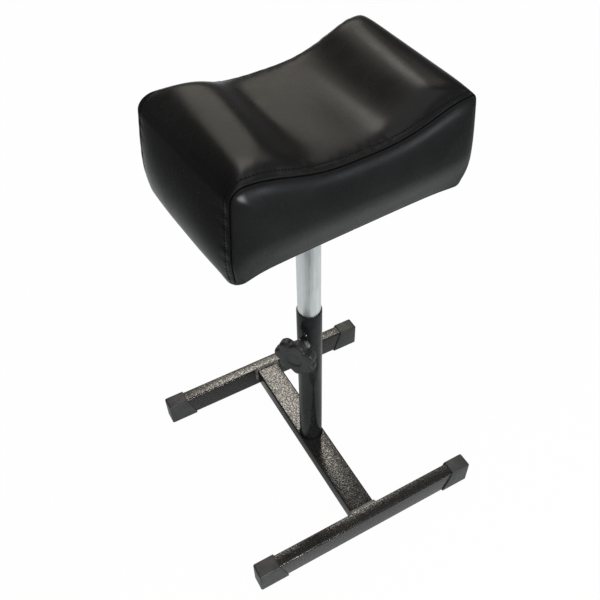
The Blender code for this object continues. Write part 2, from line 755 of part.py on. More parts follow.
def main():
    clear_scene()
    base = add_axis("base_frame", Matrix.Identity(4))
    for name, side in (("near_leg_tube", -1), ("rear_leg_tube", 1)):
        make_leg(name, side * LEG_SPACING / 2, base)
    make_bar(base)
    make_bar_weld("near_bar_weld", -1, base)
    make_bar_weld("rear_bar_weld", 1, base)
    for row, side in (("near", -1), ("rear", 1)):
        for hand, end in (("left", -1), ("right", 1)):
            make_cap(f"{row}_{hand}_cap", end, side * LEG_SPACING / 2, base)

    # Clamp axis: local Z points out of the sleeve, local Y up
    outward = Matrix.Rotation(CLAMP_BEARING, 4, "Z") @ Matrix.Rotation(math.pi / 2, 4, "Y")
    upright = Matrix.Rotation(math.pi / 2, 4, "Z")
    clamp_axis = add_axis("clamp_axis", Matrix.Translation((0, 0, CLAMP_HEIGHT)) @ outward @ upright)
    bpy.context.view_layer.update()
    make_sleeve(base, clamp_axis)
    make_nut(clamp_axis)
    make_stud(clamp_axis)
    make_knob(clamp_axis)

    post_axis = add_axis("post_axis", Matrix.Rotation(SWIVEL, 4, "Z"))
    make_post(post_axis)
    make_plate(post_axis)
    make_screws(post_axis)
    make_board(post_axis)
    make_foam(post_axis)
    make_cover(post_axis)


main()
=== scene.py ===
import math

import bmesh
import bpy
import numpy as np
from mathutils import Matrix, Vector, kdtree


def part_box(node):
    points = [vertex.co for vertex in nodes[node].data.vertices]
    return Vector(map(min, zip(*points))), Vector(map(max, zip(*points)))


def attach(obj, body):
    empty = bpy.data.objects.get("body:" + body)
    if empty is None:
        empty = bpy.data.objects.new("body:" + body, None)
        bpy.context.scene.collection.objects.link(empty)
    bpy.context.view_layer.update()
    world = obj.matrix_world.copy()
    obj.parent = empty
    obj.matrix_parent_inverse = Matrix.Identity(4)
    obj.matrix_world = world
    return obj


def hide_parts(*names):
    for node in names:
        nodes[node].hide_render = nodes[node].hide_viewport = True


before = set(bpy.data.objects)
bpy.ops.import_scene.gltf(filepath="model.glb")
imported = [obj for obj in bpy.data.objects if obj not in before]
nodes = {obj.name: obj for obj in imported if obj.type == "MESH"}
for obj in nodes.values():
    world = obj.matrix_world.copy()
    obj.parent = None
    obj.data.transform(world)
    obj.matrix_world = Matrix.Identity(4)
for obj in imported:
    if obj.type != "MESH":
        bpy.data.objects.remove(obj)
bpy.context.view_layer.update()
scene = bpy.context.scene
scene.view_settings.view_transform = "Standard"
print("frame loaded:", len(nodes), "nodes")


# Small helpers
def show(name, data):
    thing = bpy.data.objects.new(name, data)
    scene.collection.objects.link(thing)
    return thing


def meshOf(name, verts, edges, faces):
    mesh = bpy.data.meshes.new(name)
    mesh.from_pydata(verts, edges, faces)
    return mesh


def lerp(low, high, share):
    return low + (high - low) * share


def eased(t):
    return t * t * (3 - 2 * t)


def around(radius, turn):
    return radius * math.cos(math.tau * turn), radius * math.sin(math.tau * turn)


# Camera: close above the footrest's near left, as the photo was taken
view = {
    "place": (-0.31253, -0.56404, 1.01789),
    "turn": (41.600, 0.944, -29.262),
    "sensor": 36,
    "lens": 42.48,
    "shift": (-0.00498, 0.0493),
}


def setCamera():
    data = bpy.data.cameras.new("camera")
    data.sensor_width = view["sensor"]
    data.lens = view["lens"]
    data.shift_x, data.shift_y = view["shift"]
    camera = show("camera", data)
    camera.location = view["place"]
    camera.rotation_euler = [math.radians(angle) for angle in view["turn"]]
    scene.camera = camera


# Softboxes: where they stand, what they face, their size, level, colour and roll in degrees
softboxes = {
    "wallGlow": ((0.737, 2.026, 2.134), (0, 0, 0.68), (1.105, 1.69), 2.2, (1.0, 0.93, 0.81), -10),
    "sideGlow": ((1.408, 1.408, 2.351), (0, 0, 0.68), (0.768, 0.870), 1.7, (1.0, 0.93, 0.81), 0),
    "highGlow": ((1.40, 3.14, 4.84), (0, 0, 0.04), (1.26, 1.42), 9.5, (1.0, 0.95, 0.89), 0),
    "cornerBox": ((-0.01, -1.38, 0.73), (-0.13, -0.1, 0.63), (0.42, 0.18), 70.0, (0.95, 0.97, 1.0), 0),
    "sheenBox": ((2.54, -4.47, 1.16), (0.12, -0.1, 0.62), (0.60, 0.80), 17.0, (0.88, 0.94, 1.0), 0),
    "keyBox": ((-0.95, -1.15, 1.50), (0, 0, 0.5), (0.42, 0.42), 5.0, (0.96, 0.98, 1.0), 0),
    "topBox": ((-0.1, -0.1, 2.5), (0, 0, 0.4), (1.9, 1.9), 1.7, (1.0, 0.99, 0.97), 0),
    "rightFill": ((2.7, -0.25, 1.9), (0, 0, 0.5), (1.3, 1.1), 1.6, (1.0, 0.98, 0.96), 0),
    "rearFill": ((-0.55, 2.90, 1.00), (0, 0, 0.5), (1.4, 0.5), 2.2, (1.0, 0.98, 0.96), 0),
}
studio = {
    "skyLevel": 0.05,
    "horizonBand": (0.06, 0.30),  # sines of the elevations between which the backdrop fades to the sky
    "floorHalf": 8.0,
    "floorDrop": 0.0003,
    "floorColour": (0.80, 0.80, 0.79),
    "floorGlow": 0.98,  # share of the floor's own white, the rest takes shadow
    "surround": 0.16,  # level of the backdrop, and of the floor outside its white part
    "glossTint": (0.965, 1.0, 0.988),
    "glossLevel": 0.72,  # the floor as the gloss shows it, and its shade under the footrest
    "underShade": (0.34, 0.06, 0.22),  # level, and the distances between which it lifts
    # Edges of the floor's white part: a direction, and the distances along it where the white comes up
    "edges": [((0.4725, 0.8813, 0), -0.60, -0.27), ((0.973, -0.23, 0), -0.95, -0.52),
              ((-0.709, 0.705, 0), -1.2, -0.50), ((-0.4725, -0.8813, 0), -7.5, -5.5)],
}


def setLights():
    for name, (spot, aim, size, level, colour, roll) in softboxes.items():
        data = bpy.data.lights.new(name, "AREA")
        data.shape = "RECTANGLE"
        data.size, data.size_y = size
        data.energy = level * math.pi * size[0] * size[1]
        data.color = colour
        lamp = show(name, data)
        lamp.location = spot
        facing = (Vector(aim) - Vector(spot)).to_track_quat("-Z", "Y").to_matrix()
        lamp.rotation_euler = (facing @ Matrix.Rotation(math.radians(roll), 3, "Z")).to_euler()
        lamp.visible_camera = False


# Seams of the cover: how deep they are drawn in, and where the stitches sit
seam = {
    # The crease and hole widths size the painted shade along the seams and at the needle holes
    "depth": 0.0026, "wrapRoll": 0.0022, "faceRoll": 0.0036, "creaseShadeWidth": 0.0009, "calm": (0.002, 0.014),
    "stitchInset": 0.0080, "stitchSink": 0.00012, "stitchWidth": 0.0013, "pitch": 0.0039, "holeShadeWidth": 0.0014,
    "stripLift": 0.00022, "stripEdge": 0.0002, "stripSlope": 0.0030, "closeness": 4,
    "pucker": 0.00012, "puckerReach": 0.006, "puckerWaves": ((210, 1.3), (347, 0.4), (523, 0)),
}


# Node helpers, for materials, the world and geometry trees: values or other nodes' outputs go on the inputs
def put(owner, kind, inputs=None, **options):
    tree = getattr(owner, "node_tree", owner)
    node = tree.nodes.new(kind)
    for key, value in options.items():
        setattr(node, key, value)
    for key, value in (inputs or {}).items():
        if isinstance(value, bpy.types.NodeSocket):
            tree.links.new(value, node.inputs[key])
        else:
            node.inputs[key].default_value = value
    return node


def take(owner, kind, inputs=None, **options):
    return put(owner, kind, inputs, **options).outputs[0]


def calc(owner, operation, *values, clamp=False):
    return take(owner, "ShaderNodeMath", dict(enumerate(values)), operation=operation, use_clamp=clamp)


def measure(owner, operation, *values):
    return put(owner, "ShaderNodeVectorMath", dict(enumerate(values)), operation=operation).outputs["Value"]


def remap(owner, value, low, high, newLow, newHigh, curve="LINEAR"):
    values = {"Value": value, "From Min": low, "From Max": high, "To Min": newLow, "To Max": newHigh}
    return take(owner, "ShaderNodeMapRange", values, interpolation_type=curve)


def newFinish(name, values):
    m = bpy.data.materials.new(name)
    m.use_nodes = True
    for socket, value in values.items():
        m.node_tree.nodes["Principled BSDF"].inputs[socket].default_value = value
    return m


def feed(m, socket, output):
    m.node_tree.links.new(output, m.node_tree.nodes["Principled BSDF"].inputs[socket])


def objectSpace(m, stretch=(1, 1, 1)):
    spot = put(m, "ShaderNodeTexCoord").outputs["Object"]
    return take(m, "ShaderNodeMapping", {"Vector": spot, "Scale": stretch})


def noise(m, space, scale, detail, rough=0.5):
    values = {"Vector": space, "Scale": scale, "Detail": detail, "Roughness": rough}
    return take(m, "ShaderNodeTexNoise", values)


def tint(m, value, *stops):
    ramp = put(m, "ShaderNodeValToRGB", {"Fac": value})
    while len(ramp.color_ramp.elements) < len(stops):
        ramp.color_ramp.elements.new(1.0)
    for element, (spot, colour) in zip(ramp.color_ramp.elements, stops):
        element.position = spot
        element.color = (*colour, 1)
    return ramp.outputs["Color"]


def blend(m, share, first, second, kind="MIX"):
    values = {0: share, 6: first, 7: second}
    return put(m, "ShaderNodeMix", values, data_type="RGBA", blend_type=kind).outputs[2]


def bump(m, height, strength, distance, normal=None):
    values = {"Height": height, "Strength": strength, "Distance": distance}
    if normal is not None:
        values["Normal"] = normal
    return take(m, "ShaderNodeBump", values)


def marked(m, name):
    return put(m, "ShaderNodeAttribute", attribute_name=name).outputs["Fac"]


def needleHoleShade(m):
    # Painted shade of the needle holes: dark dots at the stitches, one for each whole number along the seam,
    # at the stitches' distance from it
    middle = calc(m, "ADD", calc(m, "FRACT", marked(m, "stitch")), -0.5)
    along = calc(m, "MULTIPLY", middle, seam["pitch"])
    across = calc(m, "ADD", marked(m, "seamAway"), -seam["stitchInset"])
    spot = take(m, "ShaderNodeCombineXYZ", {"X": along, "Y": across})
    return remap(m, measure(m, "LENGTH", spot), seam["holeShadeWidth"] / 2, seam["holeShadeWidth"], 1, 0)


noiseBand = (0.3, 0.7)  # where most of a noise's values lie


def coverVinyl():
    # Fine pebbled grain, slightly shinier where hands and feet have rubbed it; near black in the seams'
    # creases and needle holes, a painted shade
    m = newFinish("coverVinyl", {"Specular IOR Level": 0.10})
    space = objectSpace(m)
    # Painted shade: the seams' creases and the needle holes go near black and dull
    creaseShade = calc(m, "MAXIMUM", marked(m, "creaseShade"), needleHoleShade(m))
    black = tint(m, noise(m, space, 16, 3), (0.3, (0.0086, 0.0086, 0.0086)), (0.7, (0.0124, 0.0124, 0.0126)))
    feed(m, "Base Color", blend(m, creaseShade, black, (0.001, 0.001, 0.001, 1)))
    worn = remap(m, noise(m, space, 45, 4), *noiseBand, 0.24, 0.30)
    feed(m, "Roughness", remap(m, creaseShade, 0, 0.8, worn, 0.95))
    grain = take(m, "ShaderNodeTexVoronoi", {"Vector": space, "Scale": 1250.0}, feature="SMOOTH_F1")
    pebbles = bump(m, grain, 0.10, 0.0002)
    feed(m, "Normal", bump(m, noise(m, space, 320, 3), 0.03, 0.0006, pebbles))
    return m


# Finishes that noise alone draws. A pattern is a noise's scale, detail and roughness, 0.5 where left out
speckled = {
    "hammeredCoat": {  # hammered powder coat: shallow cells with metal flakes in the black
        "fixed": {"Specular IOR Level": 0.15}, "metal": ((400, 2.5, 0.55), 0.36, 0.66),
        "colour": ((400, 2.5, 0.55), (0.36, (0.009, 0.009, 0.009)), (0.66, (0.082, 0.081, 0.077))),
        "roughness": ((150, 3), 0.12, 0.20), "relief": ((400, 2.5, 0.55), 0.11, 0.0011)},
    "weldCoatGlints": {  # paint over a weld: rough scale; its lighter grey, lightest on the tops, is a painted highlight
        "fixed": {"Specular IOR Level": 0.6},
        "colour": ((620, 3, 0.6), (0.35, (0.05, 0.047, 0.043)), (0.68, (0.26, 0.245, 0.22))),
        "roughness": ((620, 3, 0.6), 0.34, 0.16), "relief": ((620, 3, 0.6), 0.35, 0.0009)},
    "glossPaint": {  # sprayed gloss black with a little orange peel
        "fixed": {"Specular IOR Level": 0.26},
        "colour": ((60, 4), (0.35, (0.009, 0.010, 0.010)), (0.7, (0.017, 0.017, 0.018))),
        "roughness": ((90, 4), 0.15, 0.25), "relief": ((330, 2), 0.09, 0.0007)},
    "filletShadePaint": {  # ring of a weld: dull black, a little lumpy; darker than the gloss beside it, a painted shade where the ring meets its piece
        "fixed": {"Specular IOR Level": 0.08},
        "colour": ((240, 3), (0.35, (0.005, 0.005, 0.005)), (0.7, (0.010, 0.010, 0.010))),
        "roughness": ((240, 3), 0.34, 0.46), "relief": ((240, 3), 0.12, 0.0008)},
    "boltZinc": {  # small zinc-plated hardware, dulled in patches
        "fixed": {"Metallic": 1.0},
        "colour": ((420, 4), (0.3, (0.36, 0.36, 0.36)), (0.65, (0.66, 0.66, 0.65))),
        "roughness": ((420, 4), 0.24, 0.42), "relief": ((1500, 2), 0.06, 0.0002)},
    "capPlastic": {  # moulded plastic: eroded mould texture and faint scuffs
        "fixed": {"Specular IOR Level": 0.33},
        "colour": ((70, 5), (0.3, (0.028, 0.029, 0.029)), (0.72, (0.044, 0.044, 0.044))),
        "roughness": ((120, 4), 0.39, 0.52), "relief": ((1600, 3), 0.14, 0.0004)},
    "knobPlastic": {
        "fixed": {"Specular IOR Level": 0.33},
        "colour": ((70, 5), (0.3, (0.016, 0.017, 0.017)), (0.72, (0.030, 0.030, 0.031))),
        "roughness": ((120, 4), 0.35, 0.48), "relief": ((1600, 3), 0.10, 0.0004)},
}


def speckledFinish(name):
    look = speckled[name]
    m = newFinish(name, look["fixed"])
    space = objectSpace(m)
    patterns = dict.fromkeys(use[0] for key, use in look.items() if key != "fixed")
    drawn = {pattern: noise(m, space, *pattern) for pattern in patterns}
    pattern, *stops = look["colour"]
    feed(m, "Base Color", tint(m, drawn[pattern], *stops))
    if "metal" in look:
        pattern, low, high = look["metal"]
        feed(m, "Metallic", remap(m, drawn[pattern], low, high, 0, 1))
    pattern, low, high = look["roughness"]
    feed(m, "Roughness", remap(m, drawn[pattern], *noiseBand, low, high))
    pattern, strength, distance = look["relief"]
    feed(m, "Normal", bump(m, drawn[pattern], strength, distance))
    return m


def zincPlate():
    # Zinc on drawn tube: streaks along the tube, cloudy patches and rubbed marks
    m = newFinish("zincPlate", {"Metallic": 1.0})
    streaks = noise(m, objectSpace(m, (1, 1, 0.012)), 900, 3, 0.6)
    clouds = noise(m, objectSpace(m, (1, 1, 0.35)), 55, 4, 0.6)
    both = remap(m, calc(m, "ADD", streaks, clouds), 0.6, 1.4, 0, 1)
    feed(m, "Base Color", tint(m, both, (0.15, (0.64, 0.67, 0.675)), (0.5, (0.82, 0.85, 0.855)),
                               (0.85, (0.92, 0.94, 0.945))))
    feed(m, "Roughness", remap(m, clouds, *noiseBand, 0.30, 0.46))
    feed(m, "Normal", bump(m, streaks, 0.10, 0.0003))
    return m


def waves(m, scale, distortion, direction):
    values = {"Vector": objectSpace(m), "Scale": scale, "Distortion": distortion}
    return put(m, "ShaderNodeTexWave", values, bands_direction=direction).outputs["Fac"]


def rawPlywood():
    # Plies show on the edges, long grain on the faces
    m = newFinish("rawPlywood", {"Roughness": 0.72})
    grain = noise(m, objectSpace(m, (1, 9, 1)), 70, 5, 0.62)
    wood = tint(m, grain, (0.3, (0.42, 0.28, 0.15)), (0.7, (0.66, 0.50, 0.32)))
    plies = tint(m, waves(m, 200.0, 0.6, "Z"), (0.2, (0.55, 0.5, 0.45)), (0.8, (1, 1, 1)))
    feed(m, "Base Color", blend(m, 0.35, wood, plies, "MULTIPLY"))
    feed(m, "Normal", bump(m, grain, 0.15, 0.0006))
    return m


def sewingThread():
    # Black thread with its twist, darker in the twist's grooves as painted shade
    m = newFinish("sewingThread", {"Specular IOR Level": 0.12})
    twist = waves(m, 520.0, 1.5, "DIAGONAL")
    feed(m, "Base Color", tint(m, twist, (0.2, (0.002, 0.002, 0.002)), (0.8, (0.006, 0.006, 0.006))))
    feed(m, "Roughness", remap(m, twist, 0, 1, 0.65, 0.85))
    feed(m, "Normal", bump(m, twist, 0.3, 0.0002))
    return m


vinyl = coverVinyl()
hammered = speckledFinish("hammeredCoat")
weldGlintPaint = speckledFinish("weldCoatGlints")
gloss = speckledFinish("glossPaint")
filletShade = speckledFinish("filletShadePaint")
zinc = zincPlate()
hardware = speckledFinish("boltZinc")
capPlastic = speckledFinish("capPlastic")
knobPlastic = speckledFinish("knobPlastic")
plywood = rawPlywood()
thread = sewingThread()
print("finishes ready")


def setWorld():
    # White to the camera and through clear pieces; to the gloss a rim at the horizon under a dim sky
    world = bpy.data.worlds.new("studio")
    scene.world = world
    world.use_nodes = True
    direction = put(world, "ShaderNodeTexCoord").outputs["Generated"]
    height = put(world, "ShaderNodeSeparateXYZ", {0: direction}).outputs["Z"]
    level = remap(world, height, *studio["horizonBand"], studio["surround"], studio["skyLevel"], "SMOOTHSTEP")
    path = put(world, "ShaderNodeLightPath").outputs
    plain = calc(world, "ADD", path["Is Camera Ray"], path["Is Transmission Ray"], clamp=True)
    background = world.node_tree.nodes["Background"]
    background.inputs["Color"].default_value = (1, 1, 1, 1)
    world.node_tree.links.new(remap(world, plain, 0, 1, level, 1), background.inputs["Strength"])


def setFloor():
    # White to the camera; to gloss a dimmer white, with a painted shadow under the footrest, and it still
    # takes the object's shadow
    half, z = studio["floorHalf"], -studio["floorDrop"]
    corners = [(-half, -half, z), (half, -half, z), (half, half, z), (-half, half, z)]
    mesh = meshOf("floor", corners, [], [(0, 1, 2, 3)])
    floor = show("floor", mesh)
    m = bpy.data.materials.new("paleFloor")
    m.use_nodes = True
    tree = m.node_tree
    tree.nodes.remove(tree.nodes["Principled BSDF"])
    spot = put(m, "ShaderNodeTexCoord").outputs["Object"]
    path = put(m, "ShaderNodeLightPath").outputs
    camera = path["Is Camera Ray"]
    glow = 1.0
    for direction, low, high in studio["edges"]:
        rise = remap(m, measure(m, "DOT_PRODUCT", spot, direction), low, high, 0, 1, "SMOOTHSTEP")
        glow = calc(m, "MULTIPLY", glow, rise)
    glow = remap(m, glow, 0, 1, studio["surround"], 1)
    level = studio["glossLevel"]
    shade, low, high = studio["underShade"]
    # Painted shadow under the footrest, seen only in reflections: the gloss level drops near the middle
    shown = remap(m, measure(m, "LENGTH", spot), low, high, shade * level, level, "SMOOTHSTEP")
    glow = remap(m, camera, 0, 1, calc(m, "MULTIPLY", glow, shown), 1)
    colour = blend(m, camera, (*studio["glossTint"], 1), (1, 1, 1, 1))
    white = take(m, "ShaderNodeEmission", {"Color": colour, "Strength": glow})
    matt = take(m, "ShaderNodeBsdfDiffuse", {"Color": (*studio["floorColour"], 1)})
    seen = calc(m, "ADD", camera, path["Is Glossy Ray"], clamp=True)
    seen = calc(m, "ADD", seen, path["Is Transmission Ray"], clamp=True)
    share = calc(m, "MULTIPLY", seen, studio["floorGlow"])
    mix = take(m, "ShaderNodeMixShader", {0: share, 1: matt, 2: white})
    tree.links.new(mix, tree.nodes["Material Output"].inputs["Surface"])
    mesh.materials.append(m)


# Mesh helpers
def finished(name, mesh, material, sharpAngle):
    mesh.materials.clear()
    mesh.materials.append(material)
    mesh.shade_smooth()
    mesh.set_sharp_from_angle(angle=math.radians(sharpAngle))
    return show(name, mesh)


def addPiece(name, rings, material, sharpAngle=40, closed=False):
    # Quads between rings of points: a closed skin joins its last ring to its first, an open one is capped
    count = len(rings[0])
    verts = [tuple(map(float, point)) for ring in rings for point in ring]
    faces = []
    for ring in range(len(rings) if closed else len(rings) - 1):
        a, b = ring * count, (ring + 1) % len(rings) * count
        for k in range(count):
            n = (k + 1) % count
            faces.append((a + k, a + n, b + n, b + k))
    if not closed:
        faces.append(tuple(range(count)))
        faces.append(tuple(range(len(verts) - count, len(verts))))
    mesh = meshOf(name, verts, [], faces)
    bm = bmesh.new()
    bm.from_mesh(mesh)
    bmesh.ops.remove_doubles(bm, verts=bm.verts, dist=1e-7)
    bmesh.ops.recalc_face_normals(bm, faces=bm.faces)
    bm.to_mesh(mesh)
    bm.free()
    return finished(name, mesh, material, sharpAngle)


def mount(piece, body, slot, *replaced):
    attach(piece, body)
    if replaced:
        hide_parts(*replaced)
    return piece


def circle(radius, steps, height):
    return [(*around(radius, k / steps), height) for k in range(steps)]


def roundedRectangle(width, height, corner, steps):
    points = []
    for quarter, (sx, sy) in enumerate(((1, 1), (-1, 1), (-1, -1), (1, -1))):
        for k in range(steps + 1):
            angle = math.pi / 2 * (quarter + k / steps)
            points.append((sx * (width / 2 - corner) + corner * math.cos(angle),
                           sy * (height / 2 - corner) + corner * math.sin(angle)))
    return points


def edgeRound(radius, steps):
    # From a face to its side: (inset from the side, depth below the face)
    turns = [math.pi / 2 * k / steps for k in range(steps + 1)]
    return [(radius * (1 - math.sin(a)), radius * (1 - math.cos(a))) for a in turns]


easing = {"merge": 1e-6, "flatAngle": 2, "bevelAngle": 35, "sharpAngle": 34}


def refined(node, name, material, body, slot, bevel, segments=2):
    # A CAD solid whose shape is right: merged, its flat triangles joined and its edges eased
    mesh = nodes[node].data.copy()
    mesh.name = name
    bm = bmesh.new()
    bm.from_mesh(mesh)
    bmesh.ops.remove_doubles(bm, verts=bm.verts, dist=easing["merge"])
    flat, limit = math.radians(easing["flatAngle"]), math.radians(easing["bevelAngle"])
    bmesh.ops.dissolve_limit(bm, angle_limit=flat, verts=bm.verts, edges=bm.edges)
    sharp = [e for e in bm.edges if len(e.link_faces) == 2 and e.calc_face_angle() > limit]
    bmesh.ops.bevel(bm, geom=sharp, offset=bevel, segments=segments, profile=0.5, affect="EDGES",
                    clamp_overlap=True)
    bm.to_mesh(mesh)
    bm.free()
    return mount(finished(name, mesh, material, easing["sharpAngle"]), body, slot, node)


# Geometry Nodes helpers
def newTree(name, inputs):
    tree = bpy.data.node_groups.new(name, "GeometryNodeTree")
    tree.interface.new_socket("Geometry", in_out="INPUT", socket_type="NodeSocketGeometry")
    for label, value in inputs.items():
        kind = {int: "NodeSocketInt", float: "NodeSocketFloat"}.get(type(value), "NodeSocketMaterial")
        socket = tree.interface.new_socket(label, in_out="INPUT", socket_type=kind)
        if kind != "NodeSocketMaterial":
            socket.default_value = value
    tree.interface.new_socket("Geometry", in_out="OUTPUT", socket_type="NodeSocketGeometry")
    return tree, tree.nodes.new("NodeGroupInput").outputs


def close(tree, geometry, material):
    real = take(tree, "GeometryNodeRealizeInstances", {"Geometry": geometry})
    done = take(tree, "GeometryNodeSetMaterial", {"Geometry": real, "Material": material})
    tree.links.new(done, tree.nodes.new("NodeGroupOutput").inputs[0])
    return tree


def grow(name, tree, source, values):
    # Runs a tree on a source mesh and keeps the result as a plain mesh
    holder = show(name + "Source", source)
    modifier = holder.modifiers.new("grow", "NODES")
    modifier.node_group = tree
    for item in tree.interface.items_tree:
        if item.item_type == "SOCKET" and item.in_out == "INPUT" and item.name in values:
            modifier[item.identifier] = values[item.name]
    bpy.context.view_layer.update()
    made = bpy.data.meshes.new_from_object(holder.evaluated_get(bpy.context.evaluated_depsgraph_get()))
    made.name = name
    holder.modifiers.remove(modifier)
    bpy.data.objects.remove(holder)
    made.shade_smooth()
    return show(name, made)


def pathMesh(name, points, outs=None, closed=False):
    # A line of points that can carry the direction out of the surface it lies on
    count = len(points)
    edges = [(k, k + 1) for k in range(count - 1)] + ([(count - 1, 0)] if closed else [])
    mesh = meshOf(name, [tuple(map(float, p)) for p in points], edges, [])
    if outs is not None:
        out = mesh.attributes.new("out", "FLOAT_VECTOR", "POINT")
        out.data.foreach_set("vector", np.asarray(outs, np.float32).ravel())
    return mesh


def rowTree():
    # Short rounded bars laid along a line at even steps: stitches and staples
    tree, get = newTree("barRow", {"Count": 10, "Length": 0.003, "Thickness": 0.0006, "Lift": 0.0,
                                   "Unevenness": 0.1, "Seed": 1, "Material": None})
    line = take(tree, "GeometryNodeMeshToCurve", {"Mesh": get["Geometry"]})
    row = take(tree, "GeometryNodeResampleCurve", {"Curve": line, "Count": get["Count"]}, mode="COUNT")
    out = take(tree, "GeometryNodeInputNamedAttribute", {"Name": "out"}, data_type="FLOAT_VECTOR")
    lifted = take(tree, "ShaderNodeVectorMath", {0: out, "Scale": get["Lift"]}, operation="SCALE")
    row = take(tree, "GeometryNodeSetPosition", {"Geometry": row, "Offset": lifted})
    tangent = take(tree, "GeometryNodeInputTangent")
    turn = take(tree, "FunctionNodeAlignRotationToVector", {"Vector": tangent}, axis="X")
    turn = take(tree, "FunctionNodeAlignRotationToVector", {"Rotation": turn, "Vector": out},
                axis="Z", pivot_axis="X")
    wobble = put(tree, "FunctionNodeRandomValue", {2: -1.0, 3: 1.0, "Seed": get["Seed"]}, data_type="FLOAT")
    uneven = calc(tree, "MULTIPLY_ADD", wobble.outputs[1], get["Unevenness"], 1.0)
    size = take(tree, "ShaderNodeCombineXYZ", {"X": uneven, "Y": 1.0, "Z": 1.0})
    bar = take(tree, "GeometryNodeMeshUVSphere", {"Segments": 8, "Rings": 6, "Radius": 0.5})
    slim = take(tree, "ShaderNodeCombineXYZ",
                {"X": get["Length"], "Y": get["Thickness"], "Z": get["Thickness"]})
    bar = take(tree, "GeometryNodeTransform", {"Geometry": bar, "Scale": slim})
    bars = take(tree, "GeometryNodeInstanceOnPoints",
                {"Points": row, "Instance": bar, "Rotation": turn, "Scale": size})
    return close(tree, bars, get["Material"])


def weldTree():
    # A bead swept along a line, its radius rising and falling at each ripple
    tree, get = newTree("weldBead", {"Radius": 0.002, "Pitch": 0.003, "Ripple": 0.12, "Lumps": 0.2,
                                     "Seed": 1, "Material": None})
    line = take(tree, "GeometryNodeMeshToCurve", {"Mesh": get["Geometry"]})
    fine = calc(tree, "MULTIPLY", get["Pitch"], 0.11)  # about nine points to a ripple
    line = take(tree, "GeometryNodeResampleCurve", {"Curve": line, "Length": fine}, mode="LENGTH")
    length = put(tree, "GeometryNodeSplineParameter").outputs["Length"]
    step = calc(tree, "FRACT", calc(tree, "DIVIDE", length, get["Pitch"]))
    crest = calc(tree, "MULTIPLY_ADD", calc(tree, "SUBTRACT", step, 0.5), get["Ripple"], 1.0)
    lump = take(tree, "ShaderNodeTexNoise", {"Scale": 160.0, "Detail": 2.0, "W": get["Seed"]},
                noise_dimensions="4D")
    lump = calc(tree, "MULTIPLY_ADD", calc(tree, "SUBTRACT", lump, 0.5), get["Lumps"], crest)
    radius = calc(tree, "MULTIPLY", lump, get["Radius"])
    ring = take(tree, "GeometryNodeCurvePrimitiveCircle", {"Resolution": 14, "Radius": 1.0})
    bead = take(tree, "GeometryNodeCurveToMesh",
                {"Curve": line, "Profile Curve": ring, "Scale": radius, "Fill Caps": True})
    return close(tree, bead, get["Material"])


def spatterTree():
    # Small drops scattered over a patch
    tree, get = newTree("spatter", {"Density": 60000.0, "Smallest": 0.0003, "Largest": 0.001, "Seed": 3,
                                    "Material": None})
    spread = put(tree, "GeometryNodeDistributePointsOnFaces",
                 {"Mesh": get["Geometry"], "Density": get["Density"], "Seed": get["Seed"]}).outputs
    size = put(tree, "FunctionNodeRandomValue",
               {2: get["Smallest"], 3: get["Largest"], "Seed": get["Seed"]}, data_type="FLOAT").outputs[1]
    drop = take(tree, "GeometryNodeMeshIcoSphere", {"Radius": 1.0, "Subdivisions": 2})
    drop = take(tree, "GeometryNodeTransform", {"Geometry": drop, "Scale": (1, 1, 0.6)})
    values = {"Points": spread["Points"], "Instance": drop, "Rotation": spread["Rotation"], "Scale": size}
    drops = take(tree, "GeometryNodeInstanceOnPoints", values)
    return close(tree, drops, get["Material"])


barRow = rowTree()
weldBead = weldTree()
spatter = spatterTree()

# Base frame: two legs on edge and the flat bar between them, box tubes with rolled corners
tubes = {"corner": 0.0025, "wall": 0.0015, "cornerSteps": 7}


def boxTube(name, node, along):
    low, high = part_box(node)
    middle, size = (low + high) / 2, high - low
    across, half = 1 - along, size[along] / 2
    corner, wall, steps = tubes["corner"], tubes["wall"], tubes["cornerSteps"]
    outer = roundedRectangle(size[across], size.z, corner, steps)
    inner = roundedRectangle(size[across] - 2 * wall, size.z - 2 * wall, corner - wall, steps)
    rings = []
    for end, outline in ((-half, outer), (half, outer), (half, inner), (-half, inner)):
        ring = []
        for a, b in outline:
            point = [0, 0, middle.z + b]
            point[along], point[across] = middle[along] + end, middle[across] + a
            ring.append(point)
        rings.append(ring)
    return mount(addPiece(name, rings, hammered, closed=True), "base", "hammered_black", node)


boxTube("near_leg", "near_leg_tube", 0)
boxTube("rear_leg", "rear_leg_tube", 0)
boxTube("bar", "cross_bar", 1)

# End caps: closed boxes with a slanted mouth and soft edges
caps = {"wall": 0.0017, "rounding": 0.0028, "leastCorner": 0.0008, "mouthTop": 0.032, "mouthBottom": 0.046,
        "lip": 0.0006, "lipRound": 0.3, "cornerSteps": 6, "sharpAngle": 50}


def endCap(node, end):
    low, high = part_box(node)
    middle, size = (low + high) / 2, high - low
    steps, rounding, lip, wall = caps["cornerSteps"], caps["rounding"], caps["lip"], caps["wall"]
    outside = high.x if end > 0 else -low.x

    def ring(inset, reach, slanted):
        points = []
        corner = max(rounding - inset, caps["leastCorner"])
        for a, b in roundedRectangle(size.y - 2 * inset, size.z - 2 * inset, corner, steps):
            up = (b + size.z / 2) / size.z
            depth = lerp(caps["mouthBottom"], caps["mouthTop"], up) if slanted else 0
            points.append((end * (outside - depth - reach), middle.y + a, middle.z + b))
        return points

    rings = [ring(inset, depth, False) for inset, depth in edgeRound(rounding, steps)]
    rings += [ring(0, -lip, True), ring(lip * caps["lipRound"], -lip * caps["lipRound"], True)]
    rings += [ring(lip, 0, True), ring(wall, 0, True), ring(wall, wall, False)]
    piece = addPiece(node.replace("_cap", "_end_cap"), rings, capPlastic, caps["sharpAngle"])
    return mount(piece, "base", "grey_plastic", node)


for row in ("near", "rear"):
    endCap(row + "_left_cap", -1)
    endCap(row + "_right_cap", 1)
print("base frame and caps ready")

# Sleeve and post
refined("column_sleeve", "sleeve", gloss, "base", "gloss_black", 0.00035)
column = {"steps": 96, "edge": 0.0004, "wall": 0.0015}


